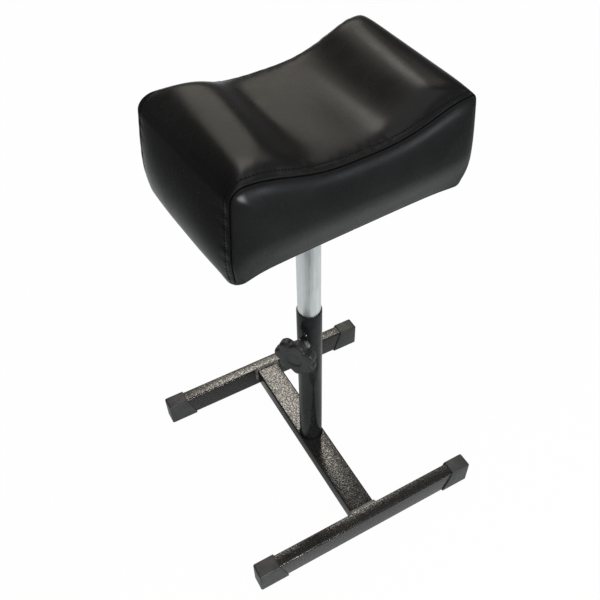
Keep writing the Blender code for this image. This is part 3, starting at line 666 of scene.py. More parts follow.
def postTube():
    low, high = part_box("post_tube")
    outer, edge = (high.x - low.x) / 2, column["edge"]
    inner = outer - column["wall"]
    profile = [(inner, low.z), (outer - edge, low.z), (outer, low.z + edge), (outer, high.z - edge),
               (outer - edge, high.z), (inner, high.z)]
    rings = [circle(radius, column["steps"], z) for radius, z in profile]
    return mount(addPiece("post", rings, zinc, closed=True), "post_and_cushion", "zinc", "post_tube")


postTube()
refined("post_end_plug", "end_plug", knobPlastic, "post_carrier", "black_plastic", 0.0002)
refined("mount_plate", "plate", gloss, "post_and_cushion", "gloss_black", 0.0004)
refined("base_board", "board", plywood, "post_and_cushion", "plywood", 0.0004)

# Clamp: nut, threaded stud and star knob on one axis, local Z out of the sleeve and local Y up
clamp = {
    "bearing": math.radians(215), "pitch": 0.0015, "threadDepth": 0.0009, "flankSlope": 1.25,
    "studRadius": 0.005, "studTip": 0.01605, "studEnd": 0.0438, "chamfer": 0.0014, "threadSteps": 12,
    "studSides": 28, "sharpAngle": 70,
}
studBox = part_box("clamp_stud")
clampHeight = (studBox[0].z + studBox[1].z) / 2
clampAxis = (Matrix.Translation((0, 0, clampHeight)) @ Matrix.Rotation(clamp["bearing"], 4, "Z")
             @ Matrix.Rotation(math.pi / 2, 4, "Y") @ Matrix.Rotation(math.pi / 2, 4, "Z"))


def onClamp(rings):
    return [[clampAxis @ Vector(point) for point in ring] for ring in rings]


def threadedStud():
    # The radius follows a helix, so the ridges wind along the stud
    pitch, sides, tip, end = clamp["pitch"], clamp["studSides"], clamp["studTip"], clamp["studEnd"]
    count = int((end - tip) / pitch * clamp["threadSteps"])
    rings = []
    for k in range(count + 1):
        z = lerp(tip, end, k / count)
        chamfer = max(0.0, clamp["chamfer"] - (z - tip))
        ring = []
        for n in range(sides):
            turn = (z / pitch - n / sides) % 1.0
            depth = clamp["threadDepth"] * min(1.0, clamp["flankSlope"] * abs(2 * turn - 1))
            ring.append((*around(clamp["studRadius"] - max(depth, chamfer), n / sides), z))
        rings.append(ring)
    piece = addPiece("stud", onClamp(rings), hardware, clamp["sharpAngle"])
    return mount(piece, "clamp_screw", "zinc", "clamp_stud")


knob = {
    "back": 0.0288, "face": 0.0503, "radius": 0.030, "lobes": 7, "notch": 0.0052, "lobePower": 2.0,
    "hubLength": 0.007, "hubRadius": 0.0105, "hubFlare": 0.00175, "hubEdge": 0.0006,
    "hubNeck": (0.4, 0.002),  # share of the flare, and how far behind the head
    "socket": 0.0053, "socketEnd": 0.0441, "socketEdge": 0.0004, "rounding": 0.0042, "steps": 196,
    "edgeSteps": 8, "sharpAngle": 50,
    # The dish in the face: steps past its radius, and how far down its depth each lies; then its middle
    "dishRadius": 0.0125, "dishDepth": 0.0016, "dishMiddle": (0.004, 0.8),
    "dishSteps": ((0.0012, 0), (0.0004, 0.12), (-0.0004, 0.55), (-0.0014, 0.92), (-0.0026, 1)),
}


def starKnob():
    steps, back, face = knob["steps"], knob["back"], knob["face"]
    hub, flare, socket, depth = knob["hubRadius"], knob["hubFlare"], knob["socket"], knob["dishDepth"]
    headBack = back + knob["hubLength"]

    def star(z, inset):
        ring = []
        for k in range(steps):
            angle = math.tau * k / steps
            dip = (0.5 - 0.5 * math.cos(knob["lobes"] * (angle - math.pi))) ** knob["lobePower"]
            ring.append((*around(knob["radius"] - inset - knob["notch"] * dip, k / steps), z))
        return ring

    lip, edge = knob["socketEdge"], knob["hubEdge"]
    neckShare, neckDrop = knob["hubNeck"]
    profile = [(socket, knob["socketEnd"]), (socket, back + lip), (socket + lip, back), (hub - edge, back),
               (hub, back + edge), (hub + flare * neckShare, headBack - neckDrop), (hub + flare, headBack)]
    rings = [circle(radius, steps, z) for radius, z in profile]
    rounds = edgeRound(knob["rounding"], knob["edgeSteps"])
    rings += [star(headBack + down, inset) for inset, down in rounds]
    rings += [star(face - down, inset) for inset, down in reversed(rounds)]
    dish = [(knob["dishRadius"] + past, share) for past, share in knob["dishSteps"]] + [knob["dishMiddle"]]
    rings += [circle(radius, steps, face - depth * share) for radius, share in dish]
    piece = addPiece("star_knob", onClamp(rings), knobPlastic, knob["sharpAngle"])
    return mount(piece, "knob", "black_plastic", "clamp_knob")


threadedStud()
starKnob()
refined("clamp_nut", "nut", hardware, "base", "zinc", 0.00045, 3)

# Welds, swept along the joints they fill
welds = {
    "barRadius": 0.0034, "sink": 0.0004, "pitch": 0.0034, "ripple": 0.22, "lumps": 0.9, "barSteps": 12,
    "cornerSteps": 6, "ringRadius": 0.0013, "ringSteps": 90, "sleeveRing": (0.0178, 0.0004),
    "plateRing": (0.0163, 0.0006),  # radius, and how far below its piece the ring lies
    "nutSide": 0.0091, "nutReach": 0.0045, "nutBack": 0.0180, "nutSteps": 10,
}


def weld(name, points, closed, radius, material, body, slot, seed, node):
    values = {"Radius": radius, "Pitch": welds["pitch"], "Ripple": welds["ripple"], "Lumps": welds["lumps"],
              "Seed": seed, "Material": material}
    source = pathMesh(name + "Path", points, closed=closed)
    return mount(grow(name, weldBead, source, values), body, slot, node)


def barWeld(name, node, seed):
    # Up one side of the bar, over its top and down the other side
    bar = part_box("cross_bar")
    y = bar[0].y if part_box(node)[0].y < 0 else bar[1].y
    corner, sink, steps, bend = tubes["corner"], welds["sink"], welds["barSteps"], welds["cornerSteps"]
    half, top, bottom = bar[1].x - sink, bar[1].z - sink, bar[0].z + corner
    points = [(-half, y, lerp(bottom, top - corner, k / steps)) for k in range(steps)]
    points += [(-half + corner * (1 - math.cos(a)), y, top - corner * (1 - math.sin(a)))
               for a in (math.pi / 2 * k / bend for k in range(bend + 1))]
    points += [(lerp(-half + corner, 0, k / steps), y, top) for k in range(1, steps)]
    points += [(-x, y, z) for x, y, z in reversed(points)]
    return weld(name, points, False, welds["barRadius"], weldGlintPaint, "base", "hammered_black", seed, node)


def ringWeld(name, node, ring, above, body, seed):
    radius, drop = welds[ring]
    points = circle(radius, welds["ringSteps"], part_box(above)[0].z - drop)
    return weld(name, points, True, welds["ringRadius"], filletShade, body, "gloss_black", seed, node)


def nutWeld(name, node, hand, seed):
    reach, steps = welds["nutReach"], welds["nutSteps"]
    points = [clampAxis @ Vector((lerp(-reach, reach, k / steps), hand * welds["nutSide"], welds["nutBack"]))
              for k in range(steps + 1)]
    return weld(name, points, False, welds["ringRadius"], gloss, "base", "gloss_black", seed, node)


barWeld("near_weld", "near_bar_weld", 3)
barWeld("rear_weld", "rear_bar_weld", 8)
ringWeld("sleeve_weld", "sleeve_base_weld", "sleeveRing", "column_sleeve", "base", 5)
ringWeld("plate_weld", "post_plate_weld", "plateRing", "mount_plate", "post_and_cushion", 6)
nutWeld("nut_weld_lower", "clamp_nut_weld_lower", -1, 11)
nutWeld("nut_weld_upper", "clamp_nut_weld_upper", 1, 12)

# Weld spatter on the sleeve above the nut
splash = {
    "turn": (-9, 30),  # degrees from the clamp's bearing
    "low": 0.011, "high": 0.021, "steps": 16, "seed": 4,
    "density": 34000.0, "smallest": 0.0004, "largest": 0.0010,
}


def sleeveSpatter():
    low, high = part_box("column_sleeve")
    radius, steps = (high.x - low.x) / 2, splash["steps"]
    verts = []
    for k in range(steps + 1):
        angle = clamp["bearing"] + math.radians(lerp(*splash["turn"], k / steps))
        for up in (splash["low"], splash["high"]):
            verts.append((radius * math.cos(angle), radius * math.sin(angle), clampHeight + up))
    faces = [(2 * k, 2 * k + 2, 2 * k + 3, 2 * k + 1) for k in range(steps)]
    source = meshOf("spatterPatch", verts, [], faces)
    values = {"Density": splash["density"], "Smallest": splash["smallest"], "Largest": splash["largest"],
              "Seed": splash["seed"], "Material": hardware}
    return mount(grow("weld_spatter", spatter, source, values), "base", "gloss_black")


sleeveSpatter()
print("clamp and welds ready")

# Screws under the plate: pan heads with a cross recess
screws = {"headRadius": 0.0045, "headHeight": 0.0026, "rounding": 0.0016, "roundSteps": 6, "faceSteps": 8,
          "middle": 0.0002, "recessArm": 0.0026, "recessHalf": 0.0006, "recessDepth": 0.0011,
          "shank": 0.0022, "tip": 0.0007, "tipLength": 0.002, "sides": 40, "sharpAngle": 35}


def plateScrew(number):
    node = f"plate_screw_{number}"
    low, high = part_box(node)
    x, y = (low.x + high.x) / 2, (low.y + high.y) / 2
    sides, steps, head = screws["sides"], screws["faceSteps"], screws["headRadius"]
    rings = []
    for k in range(steps + 1):  # the head's face, from its middle out, sunk where the cross is
        ring = []
        for a, b, z in circle(lerp(screws["middle"], head - screws["rounding"], k / steps), sides, low.z):
            narrow, wide = sorted((abs(a), abs(b)))
            deep = narrow < screws["recessHalf"] and wide < screws["recessArm"]
            ring.append((a, b, z + (screws["recessDepth"] if deep else 0)))
        rings.append(ring)
    rounds = edgeRound(screws["rounding"], screws["roundSteps"])
    profile = [(head - inset, low.z + down) for inset, down in rounds]
    under = low.z + screws["headHeight"]
    profile += [(head, under), (screws["shank"], under), (screws["shank"], high.z - screws["tipLength"]),
                (screws["tip"], high.z)]
    rings += [circle(radius, sides, z) for radius, z in profile]
    rings = [[(x + a, y + b, z) for a, b, z in ring] for ring in rings]
    piece = addPiece(f"screw_{number}", rings, hardware, screws["sharpAngle"])
    return mount(piece, "post_and_cushion", "zinc", node)


for number in range(1, 5):
    plateScrew(number)

# Cushion: three sewn panels over a saddle-shaped foam, measured above the board's underside
cushion = {
    "turn": math.radians(3.8), "sharpAngle": 60,
    "baseHalf": (0.1400, 0.0915), "topHalf": (0.1415, 0.0953), "baseTuck": 0.004,
    "fullHeight": 0.1115, "floor": -0.0015, "baseRound": 0.003, "cornerRound": 0.009, "cornerPower": 14,
    "seamSwell": 0.0055, "sideSwell": 0.0125, "frontSwell": 0.0065, "swellSkew": 0.55,
    "wrapFill": 9, "sideFill": 3.5, "faceFill": 5,
    "planRound": (0.014, 0.008), "roundHeight": 0.050, "leftFlare": 0.0042,
    "droop": (0.0035, 0.0010), "droopReach": 0.014, "faceBulge": 0.0082, "bulgeReach": 0.0140,
    "valleySeam": (0.0915, 0.0941), "valleyLift": 0.0065,
    "hemWidth": 0.022, "hemSteps": (0.25, 0.5, 0.75), "foldSteps": 6, "coverThickness": 0.0012,
    "boardTop": 0.0103, "boardGap": 0.0015, "gapShare": 0.8,
}
humps = {  # the left and the right one
    -1: {"crest": (0.126, 0.1045), "skew": -0.0118, "front": 0.1115, "rear": 0.1098, "lift": 0.0080,
         "corner": (0.014, 0.024), "power": 1.35, "shoulder": 0.95, "steep": 0.8},
    1: {"crest": (0.132, 0.108), "skew": 0.006, "front": 0.1122, "rear": 0.1200, "lift": 0.0105,
        "corner": (0.014, 0.023), "power": 1.55, "shoulder": 0.76, "steep": 0.0},
}
clothSettings = {
    "frames": 20, "quality": 8, "mass": 0.3, "cap": 0.0045, "settling": 8, "settleShare": 0.6,
    "side": 16, "arc": 5, "saddle": 20, "rows": 33,
    "wrapPull": (4.0, 90, 40), "facePull": (9.0, 12, 0.5),  # pressure, tension, bending
}
# The fine panels: distances from the seam in millimetres, closest where a panel rolls into it
fineGrid = {
    "upright": [0, 0.12, 0.3, 0.55, 0.9, 1.35, 1.9, 2.6, 3.4, 4.3, 5.3],
    "uprightHeight": 98.0, "lastStep": 0.011,
    "across": [0, 0.12, 0.3, 0.55, 0.9, 1.35, 1.9, 2.7, 3.7, 4.8, 5.8, 6.6, 7.2, 7.6, 8.0, 8.4, 8.8, 9.4,
               10.2, 11.4, 13.2, 15.8, 19.2, 23.5, 29, 35.5, 43, 51.5, 61, 71, 82],
    "halfWidth": 95.3, "low": 80, "arc": 27, "saddle": 113,
}
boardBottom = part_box("base_board")[0].z


def fullness(share, power):
    return 1 - np.minimum(1, np.abs(share)) ** power


def baseStart(row):
    # Where the upright part of a panel begins; the base is rounded more at the corners
    rounding = lerp(cushion["baseRound"], cushion["cornerRound"], np.abs(row) ** cushion["cornerPower"])
    return cushion["floor"] + rounding


def riseAt(height):
    return np.clip((height - cushion["floor"]) / (cushion["fullHeight"] - cushion["floor"]), 0, 1)


def swellAt(rise):
    return np.sin(np.pi * rise ** cushion["swellSkew"])


def sideX(height, share):
    rise = riseAt(height)
    swell = lerp(cushion["seamSwell"], cushion["sideSwell"], share)
    return lerp(cushion["baseHalf"][0], cushion["topHalf"][0], rise) + swell * swellAt(rise)


def frontY(height, share):
    rise = riseAt(height)
    swell = lerp(cushion["seamSwell"], cushion["frontSwell"], share)
    base = cushion["baseHalf"][1] - cushion["baseTuck"] * share
    return lerp(base, cushion["topHalf"][1], rise) + swell * swellAt(rise)


def flared(x, height):
    # The left end stands out further at the base
    return x - cushion["leftFlare"] * (1 - riseAt(height)) * np.clip(-x / cushion["baseHalf"][0], 0, 1)


def halfProfile(side, row, share, bulge, steps):
    # Up one side, round the hump and down to the middle: x and height, a column for each row across
    hump = humps[side]
    crest = lerp(hump["crest"][0], hump["crest"][1] + hump["skew"] * row, share)
    corner = lerp(*hump["corner"], share)
    peak = lerp(hump["front"], hump["rear"], (row + 1) / 2) + hump["lift"] * share
    valley = lerp(*cushion["valleySeam"], (row + 1) / 2) + cushion["valleyLift"] * share
    shoulder = peak - corner
    edge = sideX(shoulder, bulge)
    drop = 0.001
    lean = (sideX(shoulder - drop, bulge) - edge) / drop
    first = np.arctan(lean * corner / (edge - crest))  # the round starts in line with the leaning side
    start = baseStart(row)
    xs, hs = [], []
    for f in steps["side"]:
        h = lerp(start, shoulder, f)
        hs.append(h)
        xs.append(sideX(h, bulge))
    for a in steps["arc"][1:]:
        angle = lerp(first, np.pi / 2, a)
        across = np.maximum(np.cos(angle) / np.cos(first), 0) ** hump["shoulder"]
        up = np.maximum((np.sin(angle) - np.sin(first)) / (1 - np.sin(first)), 0) ** hump["shoulder"]
        xs.append(crest + (edge - crest) * across)
        hs.append(shoulder + corner * up)
    for u in steps["saddle"][1:]:
        xs.append(crest * (1 - u))
        fall = np.sin(np.pi / 2 * (1 - u) ** hump["power"]) ** 2
        hs.append(valley + (peak - valley) * lerp(fall, eased(fall), hump["steep"] * share))
    return flared(side * np.array(xs), np.array(hs)), np.array(hs)


def wrapPoints(rows, steps):
    # The panel over the ends and the top: stations along it by rows across it
    share = fullness(rows, cushion["wrapFill"])
    bulge = fullness(rows, cushion["sideFill"])
    leftX, leftH = halfProfile(-1, rows, share, bulge, steps)
    rightX, rightH = halfProfile(1, rows, share, bulge, steps)
    x = np.concatenate([leftX, rightX[-2::-1]])
    h = np.concatenate([leftH, rightH[-2::-1]])
    return np.stack([x, rows * frontY(h, 0), h], axis=-1)


def facePoints(hand, steps):
    # The front or rear panel: columns along it by rows up it
    edge = wrapPoints(np.array([float(hand)]), steps)[:, 0]
    sideCount = len(steps["side"]) - 1
    top = edge[sideCount:len(edge) - sideCount]
    share = np.asarray(steps["side"])[None, :]
    column = (top[:, 0] / sideX(top[:, 2], 0))[:, None]
    column[0], column[-1] = -1.0, 1.0
    height = lerp(baseStart(column), top[:, 2][:, None], share)
    full = fullness(column, cushion["faceFill"]) * fullness(share, cushion["faceFill"])
    return np.stack([flared(column * sideX(height, 0), height), hand * frontY(height, full), height], axis=-1)


def lowShare(height):
    # 1 at the base, fading to 0 further up
    return 1 - eased(np.clip((height - cushion["floor"]) / cushion["roundHeight"], 0, 1))


def roundedBase(points):
    # Towards the base the upright corners turn round in plan
    x, y, height = np.abs(points[..., 0]), np.abs(points[..., 1]), points[..., 2]
    radius = np.where(points[..., 0] < 0, *cushion["planRound"]) * lowShare(height) + 1e-6
    edge = np.abs(flared(np.sign(points[..., 0]) * sideX(height, 0), height))
    middleX, middleY = edge - radius, frontY(height, 0) - radius
    dx, dy = x - middleX, y - middleY
    corner = (dx > 0) & (dy > 0)
    scale = np.where(corner, np.maximum(dx, dy) / np.maximum(np.hypot(dx, dy), 1e-9), 1.0)
    return np.stack([np.sign(points[..., 0]) * np.where(corner, middleX + dx * scale, x),
                     np.sign(points[..., 1]) * np.where(corner, middleY + dy * scale, y), height], axis=-1)


def drooped(points):
    # The gathered corners hang a little lower than the rest of the base
    x, y, height = np.abs(points[..., 0]), np.abs(points[..., 1]), points[..., 2]
    away = (cushion["baseHalf"][0] - x) ** 2 + (cushion["baseHalf"][1] - y) ** 2
    near = np.exp(-away / (2 * cushion["droopReach"] ** 2))
    fall = np.where(points[..., 0] < 0, *cushion["droop"]) * lowShare(height) * near
    return np.stack([points[..., 0], points[..., 1], height - fall], axis=-1)


def turned(points, lift):
    c, s = math.cos(cushion["turn"]), math.sin(cushion["turn"])
    x, y, z = np.asarray(points, float).T
    return np.column_stack([c * x - s * y, s * x + c * y, z + lift])


def stations(steps):
    # One number for each station along the wrap panel, the same for coarse and fine steps
    arc, saddle = 1 + np.asarray(steps["arc"][1:]), 2 + np.asarray(steps["saddle"][1:])
    half = np.concatenate([steps["side"], arc, saddle])
    return np.concatenate([half, 6 - half[-2::-1]])


def smoothResample(values, knots, spots):
    # Cubic interpolation along the first axis
    slopes = np.gradient(values, knots, axis=0)
    k = np.clip(np.searchsorted(knots, spots) - 1, 0, len(knots) - 2)
    shape = (-1,) + (1,) * (values.ndim - 1)
    width = (knots[k + 1] - knots[k]).reshape(shape)
    t = ((spots - knots[k]) / (knots[k + 1] - knots[k])).reshape(shape)
    return ((2 * t**3 - 3 * t**2 + 1) * values[k] + (t**3 - 2 * t**2 + t) * width * slopes[k]
            + (3 * t**2 - 2 * t**3) * values[k + 1] + (t**3 - t**2) * width * slopes[k + 1])


def resampled(grid, knots, spots, rowKnots, rowSpots):
    half = smoothResample(grid, knots, spots).transpose(1, 0, 2)
    return smoothResample(half, rowKnots, rowSpots).transpose(1, 0, 2)


def numbered(grid, first=0):
    return np.arange(grid.shape[0] * grid.shape[1]).reshape(grid.shape[:2]) + first


def gridFaces(index, flip):
    quads = np.stack([index[:-1, :-1], index[1:, :-1], index[1:, 1:], index[:-1, 1:]], axis=-1).reshape(-1, 4)
    return quads[:, ::-1] if flip else quads


def inflate(grids, pressure, tension, bending):
    # Cloth under pressure, each panel held along its seams and its base: gives each panel's shift
    verts, faces, pins, first = [], [], [], 0
    for grid, flip in grids:
        index = numbered(grid, first)
        faces.append(gridFaces(index, flip))
        verts.append(grid.reshape(-1, 3))
        pins += [*index[0], *index[-1], *index[:, 0], *index[:, -1]]
        first += index.size
    verts = np.concatenate(verts)
    mesh = meshOf("clothSheet", verts.tolist(), [], np.concatenate(faces).tolist())
    sheet = show("clothSheet", mesh)
    sheet.vertex_groups.new(name="held").add([int(k) for k in set(pins)], 1.0, "REPLACE")
    cloth = sheet.modifiers.new("cloth", "CLOTH")
    settings = {
        "vertex_group_mass": "held", "quality": clothSettings["quality"], "mass": clothSettings["mass"],
        "tension_stiffness": tension, "compression_stiffness": tension, "shear_stiffness": tension / 2,
        "bending_stiffness": bending, "use_pressure": True, "uniform_pressure_force": pressure,
    }
    for key, value in settings.items():
        setattr(cloth.settings, key, value)
    cloth.settings.effector_weights.gravity = 0
    cloth.point_cache.frame_start = 1
    cloth.point_cache.frame_end = clothSettings["frames"]
    for step in range(1, clothSettings["frames"] + 1):
        scene.frame_set(step)
    done = sheet.evaluated_get(bpy.context.evaluated_depsgraph_get())
    moved = np.zeros(len(verts) * 3, np.float32)
    done.data.vertices.foreach_get("co", moved)
    bpy.data.objects.remove(sheet)
    scene.frame_set(1)
    shift = moved.reshape(-1, 3) - verts
    length = np.linalg.norm(shift, axis=1, keepdims=True) + 1e-12
    shift *= clothSettings["cap"] * np.tanh(length / clothSettings["cap"]) / length
    parts, first = [], 0
    for grid, _ in grids:
        count = grid.shape[0] * grid.shape[1]
        part = shift[first:first + count].reshape(grid.shape)
        for _ in range(clothSettings["settling"]):
            beside = part[:-2, 1:-1] + part[2:, 1:-1] + part[1:-1, :-2] + part[1:-1, 2:]
            part[1:-1, 1:-1] = lerp(part[1:-1, 1:-1], beside / 4, clothSettings["settleShare"])
        parts.append(part)
        first += count
    return parts


def puffed(wrap, faces, fine, rows):
    # The cloth's shifts, found on coarse panels and carried over to the fine ones
    coarse = {key: np.linspace(0, 1, clothSettings[key] + 1) for key in ("side", "arc", "saddle")}
    coarseRows = np.linspace(-1, 1, clothSettings["rows"])
    shifts = inflate([(wrapPoints(coarseRows, coarse), False)], *clothSettings["wrapPull"])
    sheets = [(facePoints(-1, coarse), False), (facePoints(1, coarse), True)]
    shifts += inflate(sheets, *clothSettings["facePull"])
    spots, knots = stations(fine), stations(coarse)
    wrap = wrap + resampled(shifts[0], knots, spots, coarseRows, rows)
    n, c = len(fine["side"]) - 1, len(coarse["side"]) - 1
    top = knots[c:len(knots) - c], spots[n:len(spots) - n]
    for hand, shift in ((-1, shifts[1]), (1, shifts[2])):
        faces[hand] = faces[hand] + resampled(shift, *top, coarse["side"], fine["side"])
    print("cloth settled")
    return wrap, faces


def finePanels():
    gaps = np.array(fineGrid["upright"]) / fineGrid["uprightHeight"]
    low = np.linspace(0, 1 - gaps[-1] - fineGrid["lastStep"], fineGrid["low"])
    steps = {key: np.linspace(0, 1, fineGrid[key]) for key in ("arc", "saddle")}
    half = 1 - np.array(fineGrid["across"]) / fineGrid["halfWidth"]
    side = np.concatenate([low, (1 - gaps)[::-1]])
    return {"side": side, **steps}, np.concatenate([-half, [0.0], half[::-1]])


def gridNormals(points):
    normal = np.cross(np.gradient(points, axis=0), np.gradient(points, axis=1))
    return normal / (np.linalg.norm(normal, axis=-1, keepdims=True) + 1e-12)


def roll(distance, radius):
    near = np.clip(1 - distance / radius, 0, 1)
    return seam["depth"] * (1 - np.sqrt(1 - near**2))


def calmed(height):
    # The seam flattens out where the cover turns under the board
    low, high = seam["calm"]
    return eased(np.clip((height - cushion["floor"] - low) / (high - low), 0, 1))


def sewnStrip(distance, along):
    # Raised seam allowance and the sunk stitch line, as a height over the panel
    inset = seam["stitchInset"]
    rise = eased(np.clip((inset + seam["stripEdge"] - distance) / seam["stripSlope"], 0, 1))
    line = np.exp(-((distance - inset) / seam["stitchWidth"]) ** 2)
    wave = sum(np.sin(along * rate + start) for rate, start in seam["puckerWaves"])
    pull = seam["pucker"] * wave * np.exp(-(((distance - inset) / seam["puckerReach"]) ** 2))
    return seam["stripLift"] * rise - seam["stitchSink"] * line + pull


def drawnIn(outs, hand):
    # Into the foam, halfway between the two panels that meet at the seam
    drawn = outs.copy()
    drawn[:, 1] = 0
    drawn /= np.linalg.norm(drawn, axis=1, keepdims=True)
    drawn[:, 1] = hand
    return drawn / -np.linalg.norm(drawn, axis=1, keepdims=True)


def fromSeam(wrap, hand):
    # Distances over the wrap panel from its front or its rear seam
    steps = np.linalg.norm(np.diff(wrap, axis=1), axis=2)[:, ::-hand]
    return np.concatenate([np.zeros((len(wrap), 1)), np.cumsum(steps, axis=1)], axis=1)[:, ::-hand]


def seamGaps(face, line, n):
    # For each point of a face its distance from the seam, and the seam's point that it follows
    last = len(line) - 1
    dense = smoothResample(line, np.arange(last + 1.0), np.linspace(0, last, len(line) * seam["closeness"]))
    tree = kdtree.KDTree(len(dense))
    for k, point in enumerate(dense):
        tree.insert(point, k)
    tree.balance()
    found = [tree.find(point) for point in face.reshape(-1, 3)]
    gap = np.array([hit[2] for hit in found]).reshape(face.shape[:2])
    owner = np.rint(np.array([hit[1] for hit in found]) * last / (len(dense) - 1)).astype(int)
    owner = np.clip(owner, 0, last).reshape(face.shape[:2])
    gap[0], gap[-1], gap[:, -1] = 0, 0, 0
    owner[0], owner[-1], owner[:, -1] = np.arange(n + 1), last - np.arange(n + 1), np.arange(n, last + 1 - n)
    return gap, owner


def stitchPath(shaped, outs, far, hand):
    # The stitches' line at its inset from the seam, with the direction out of the panel
    spots, normals = [], []
    for distance, points, out in zip(far[:, ::-hand], shaped[:, ::-hand], outs[:, ::-hand]):
        spots.append([np.interp(seam["stitchInset"], distance, points[:, axis]) for axis in range(3)])
        normals.append([np.interp(seam["stitchInset"], distance, out[:, axis]) for axis in range(3)])
    return drooped(np.array(spots)), np.array(normals)


def sew(wrap, faces, rows, n):
    # Draws the seams into the foam; marks the painted shade in the creases, the distances from a seam and the
    # stitches' numbers
    outs, calm = gridNormals(wrap), calmed(wrap[..., 2])[..., None]
    shaped = wrap.copy()
    creaseShades, away = {0: np.zeros(wrap.shape[:2])}, {0: np.ones(wrap.shape[:2])}
    stitch, seams = np.zeros(wrap.shape[:2]), []
    for hand, column in ((-1, 0), (1, -1)):
        line = wrap[:, column]
        drawn = drawnIn(outs[:, column], hand)
        along = np.concatenate([[0], np.cumsum(np.linalg.norm(np.diff(line, axis=0), axis=1))])
        far = fromSeam(wrap, hand)
        half = rows * hand > 0
        shaped += drawn[:, None, :] * roll(far, seam["wrapRoll"])[..., None] * calm
        shaped += np.where(half[None, :, None], outs * sewnStrip(far, along[:, None])[..., None] * calm, 0)
        creaseShades[0] = np.maximum(creaseShades[0], np.exp(-((far / seam["creaseShadeWidth"]) ** 2)))
        away[0] = np.where(half, far, away[0])
        count = int(round(along[-1] / seam["pitch"]))
        stitch = np.where(half, (along / along[-1] * count)[:, None], stitch)
        gap, owner = seamGaps(faces[hand], line, n)
        creaseShades[hand], away[hand] = np.exp(-((gap / seam["creaseShadeWidth"]) ** 2)), -gap
        pull = roll(gap, seam["faceRoll"]) * calmed(faces[hand][..., 2])
        face = faces[hand] + drawn[owner] * pull[..., None]
        bulge = cushion["faceBulge"] * (1 - np.exp(-gap / cushion["bulgeReach"]))
        face[..., 1] += hand * (bulge * (1 - lowShare(face[..., 2])))
        faces[hand] = roundedBase(face)
        seams.append(("front_stitches" if hand < 0 else "rear_stitches", far, hand, count))
    shaped = roundedBase(shaped)
    paths = {name: (*stitchPath(shaped, outs, far, hand), count) for name, far, hand, count in seams}
    order = (0, -1, 1)
    marks = {"creaseShade": [creaseShades[key] for key in order], "seamAway": [away[key] for key in order],
             "stitch": [stitch]}
    return shaped, faces, marks, paths


def closedSkin(shaped, faces, n):
    # One closed skin: the panels share their seam points
    wrapIndex = numbered(shaped)
    verts, quads, bases, total = [shaped.reshape(-1, 3)], [gridFaces(wrapIndex, False)], {}, wrapIndex.size
    for hand, column in ((-1, 0), (1, -1)):
        index = numbered(faces[hand], total)
        verts.append(faces[hand].reshape(-1, 3))
        total += index.size
        edge = wrapIndex[:, column]
        index[0], index[-1], index[:, -1] = edge[:n + 1], edge[:-n - 2:-1], edge[n:len(edge) - n]
        quads.append(gridFaces(index, hand > 0))
        bases[hand] = index[:, 0]
    ring = np.concatenate([bases[-1], wrapIndex[-1, 1:-1], bases[1][::-1], wrapIndex[0, -2:0:-1]])

    # Turned under: a rounded base edge, the hem, its cut edge, and back up round the board to close the skin
    outline = np.concatenate(verts)[ring]
    x, y = outline[:, 0], outline[:, 1]
    reachX, reachY = np.abs(x).max(), np.abs(y).max()
    toSide = np.abs(x) / reachX >= np.abs(y) / reachY
    width, floor, thick = cushion["hemWidth"], cushion["floor"], cushion["coverThickness"]
    hemX, hemY = reachX - width, reachY - width
    inner = np.where(toSide[:, None], np.stack([np.sign(x) * hemX, y / reachY * hemY], axis=1),
                     np.stack([x / reachX * hemX, np.sign(y) * hemY], axis=1))
    inward = inner - outline[:, :2]
    depth = np.linalg.norm(inward, axis=1, keepdims=True)
    inward = inward / depth
    radius = (outline[:, 2] - floor)[:, None]
    turns = np.linspace(0, np.pi / 2, cushion["foldSteps"] + 1)[1:]
    levels = [(radius * (1 - math.cos(a)), floor + radius * (1 - math.sin(a))) for a in turns]
    levels += [(lerp(radius, width, share), floor) for share in cushion["hemSteps"]]
    gap = lerp(radius, cushion["boardGap"], cushion["gapShare"])
    levels += [(width, floor), (width, floor + thick), (gap, floor + thick), (gap, cushion["boardTop"])]
    previous = ring
    for number, (inset, height) in enumerate(levels):
        spot = outline[:, :2] + inward * np.minimum(inset, depth)
        verts.append(np.column_stack([spot, np.broadcast_to(np.ravel(height), len(ring))]))
        index = np.arange(len(ring)) + total
        total += len(ring)
        quads.append(np.stack([previous, index, np.roll(index, -1), np.roll(previous, -1)], axis=1))
        if number == len(turns):  # the staples sit on the hem's first step
            stapled = drooped(verts[-1])
        previous = index
    return np.concatenate(verts), np.concatenate(quads).tolist() + [previous.tolist()], stapled


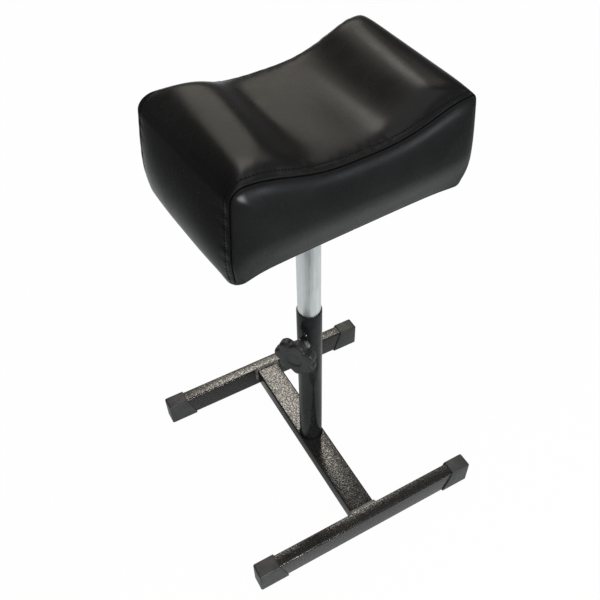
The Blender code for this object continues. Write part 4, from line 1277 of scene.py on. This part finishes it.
def makeCushion():
    fine, rows = finePanels()
    n = len(fine["side"]) - 1
    wrap = wrapPoints(rows, fine)
    faces = {hand: facePoints(hand, fine) for hand in (-1, 1)}
    wrap, faces = puffed(wrap, faces, fine, rows)
    shaped, faces, marks, paths = sew(wrap, faces, rows, n)
    points, polygons, stapled = closedSkin(shaped, faces, n)
    mesh = meshOf("cushion_cover", turned(drooped(points), boardBottom).tolist(), [], polygons)
    for name, grids in marks.items():
        values = np.full(len(points), 1.0 if name == "seamAway" else 0.0, np.float32)
        known = np.concatenate([grid.ravel() for grid in grids])
        values[:len(known)] = known
        mesh.attributes.new(name, "FLOAT", "POINT").data.foreach_set("value", values)
    bm = bmesh.new()
    bm.from_mesh(mesh)
    bmesh.ops.delete(bm, geom=[v for v in bm.verts if not v.link_faces], context="VERTS")
    bmesh.ops.recalc_face_normals(bm, faces=bm.faces)
    bm.to_mesh(mesh)
    bm.free()
    cover = finished("cushion_cover", mesh, vinyl, cushion["sharpAngle"])
    mount(cover, "post_and_cushion", "black_leatherette",
          "foam_core", "cover_wrap_panel", "cover_front_panel", "cover_rear_panel")
    return paths, stapled


stitchPaths, staplePath = makeCushion()
print("cushion ready")

# Thread along the seams, and staples that hold the hem to the board
stitches = {"Length": 0.0024, "Thickness": 0.0011, "Lift": -0.0002, "Unevenness": 0.10, "Material": thread}
staples = {"Count": 40, "Length": 0.010, "Thickness": 0.0011, "Lift": 0.0001, "Unevenness": 0.02, "Seed": 30,
           "Material": hardware}
for seed, name in ((20, "front_stitches"), (21, "rear_stitches")):
    spots, outs, count = stitchPaths[name]
    source = pathMesh(name + "Path", turned(spots, boardBottom), turned(outs, 0))
    row = grow(name, barRow, source, {**stitches, "Count": count, "Seed": seed})
    mount(row, "post_and_cushion", "black_leatherette")
down = np.tile((0.0, 0.0, -1.0), (len(staplePath), 1))
source = pathMesh("staplePath", turned(staplePath, boardBottom), down, True)
mount(grow("hem_staples", barRow, source, staples), "post_and_cushion", "zinc")
print("stitches and staples ready")

setWorld()
setFloor()
setLights()
setCamera()
print("studio ready")
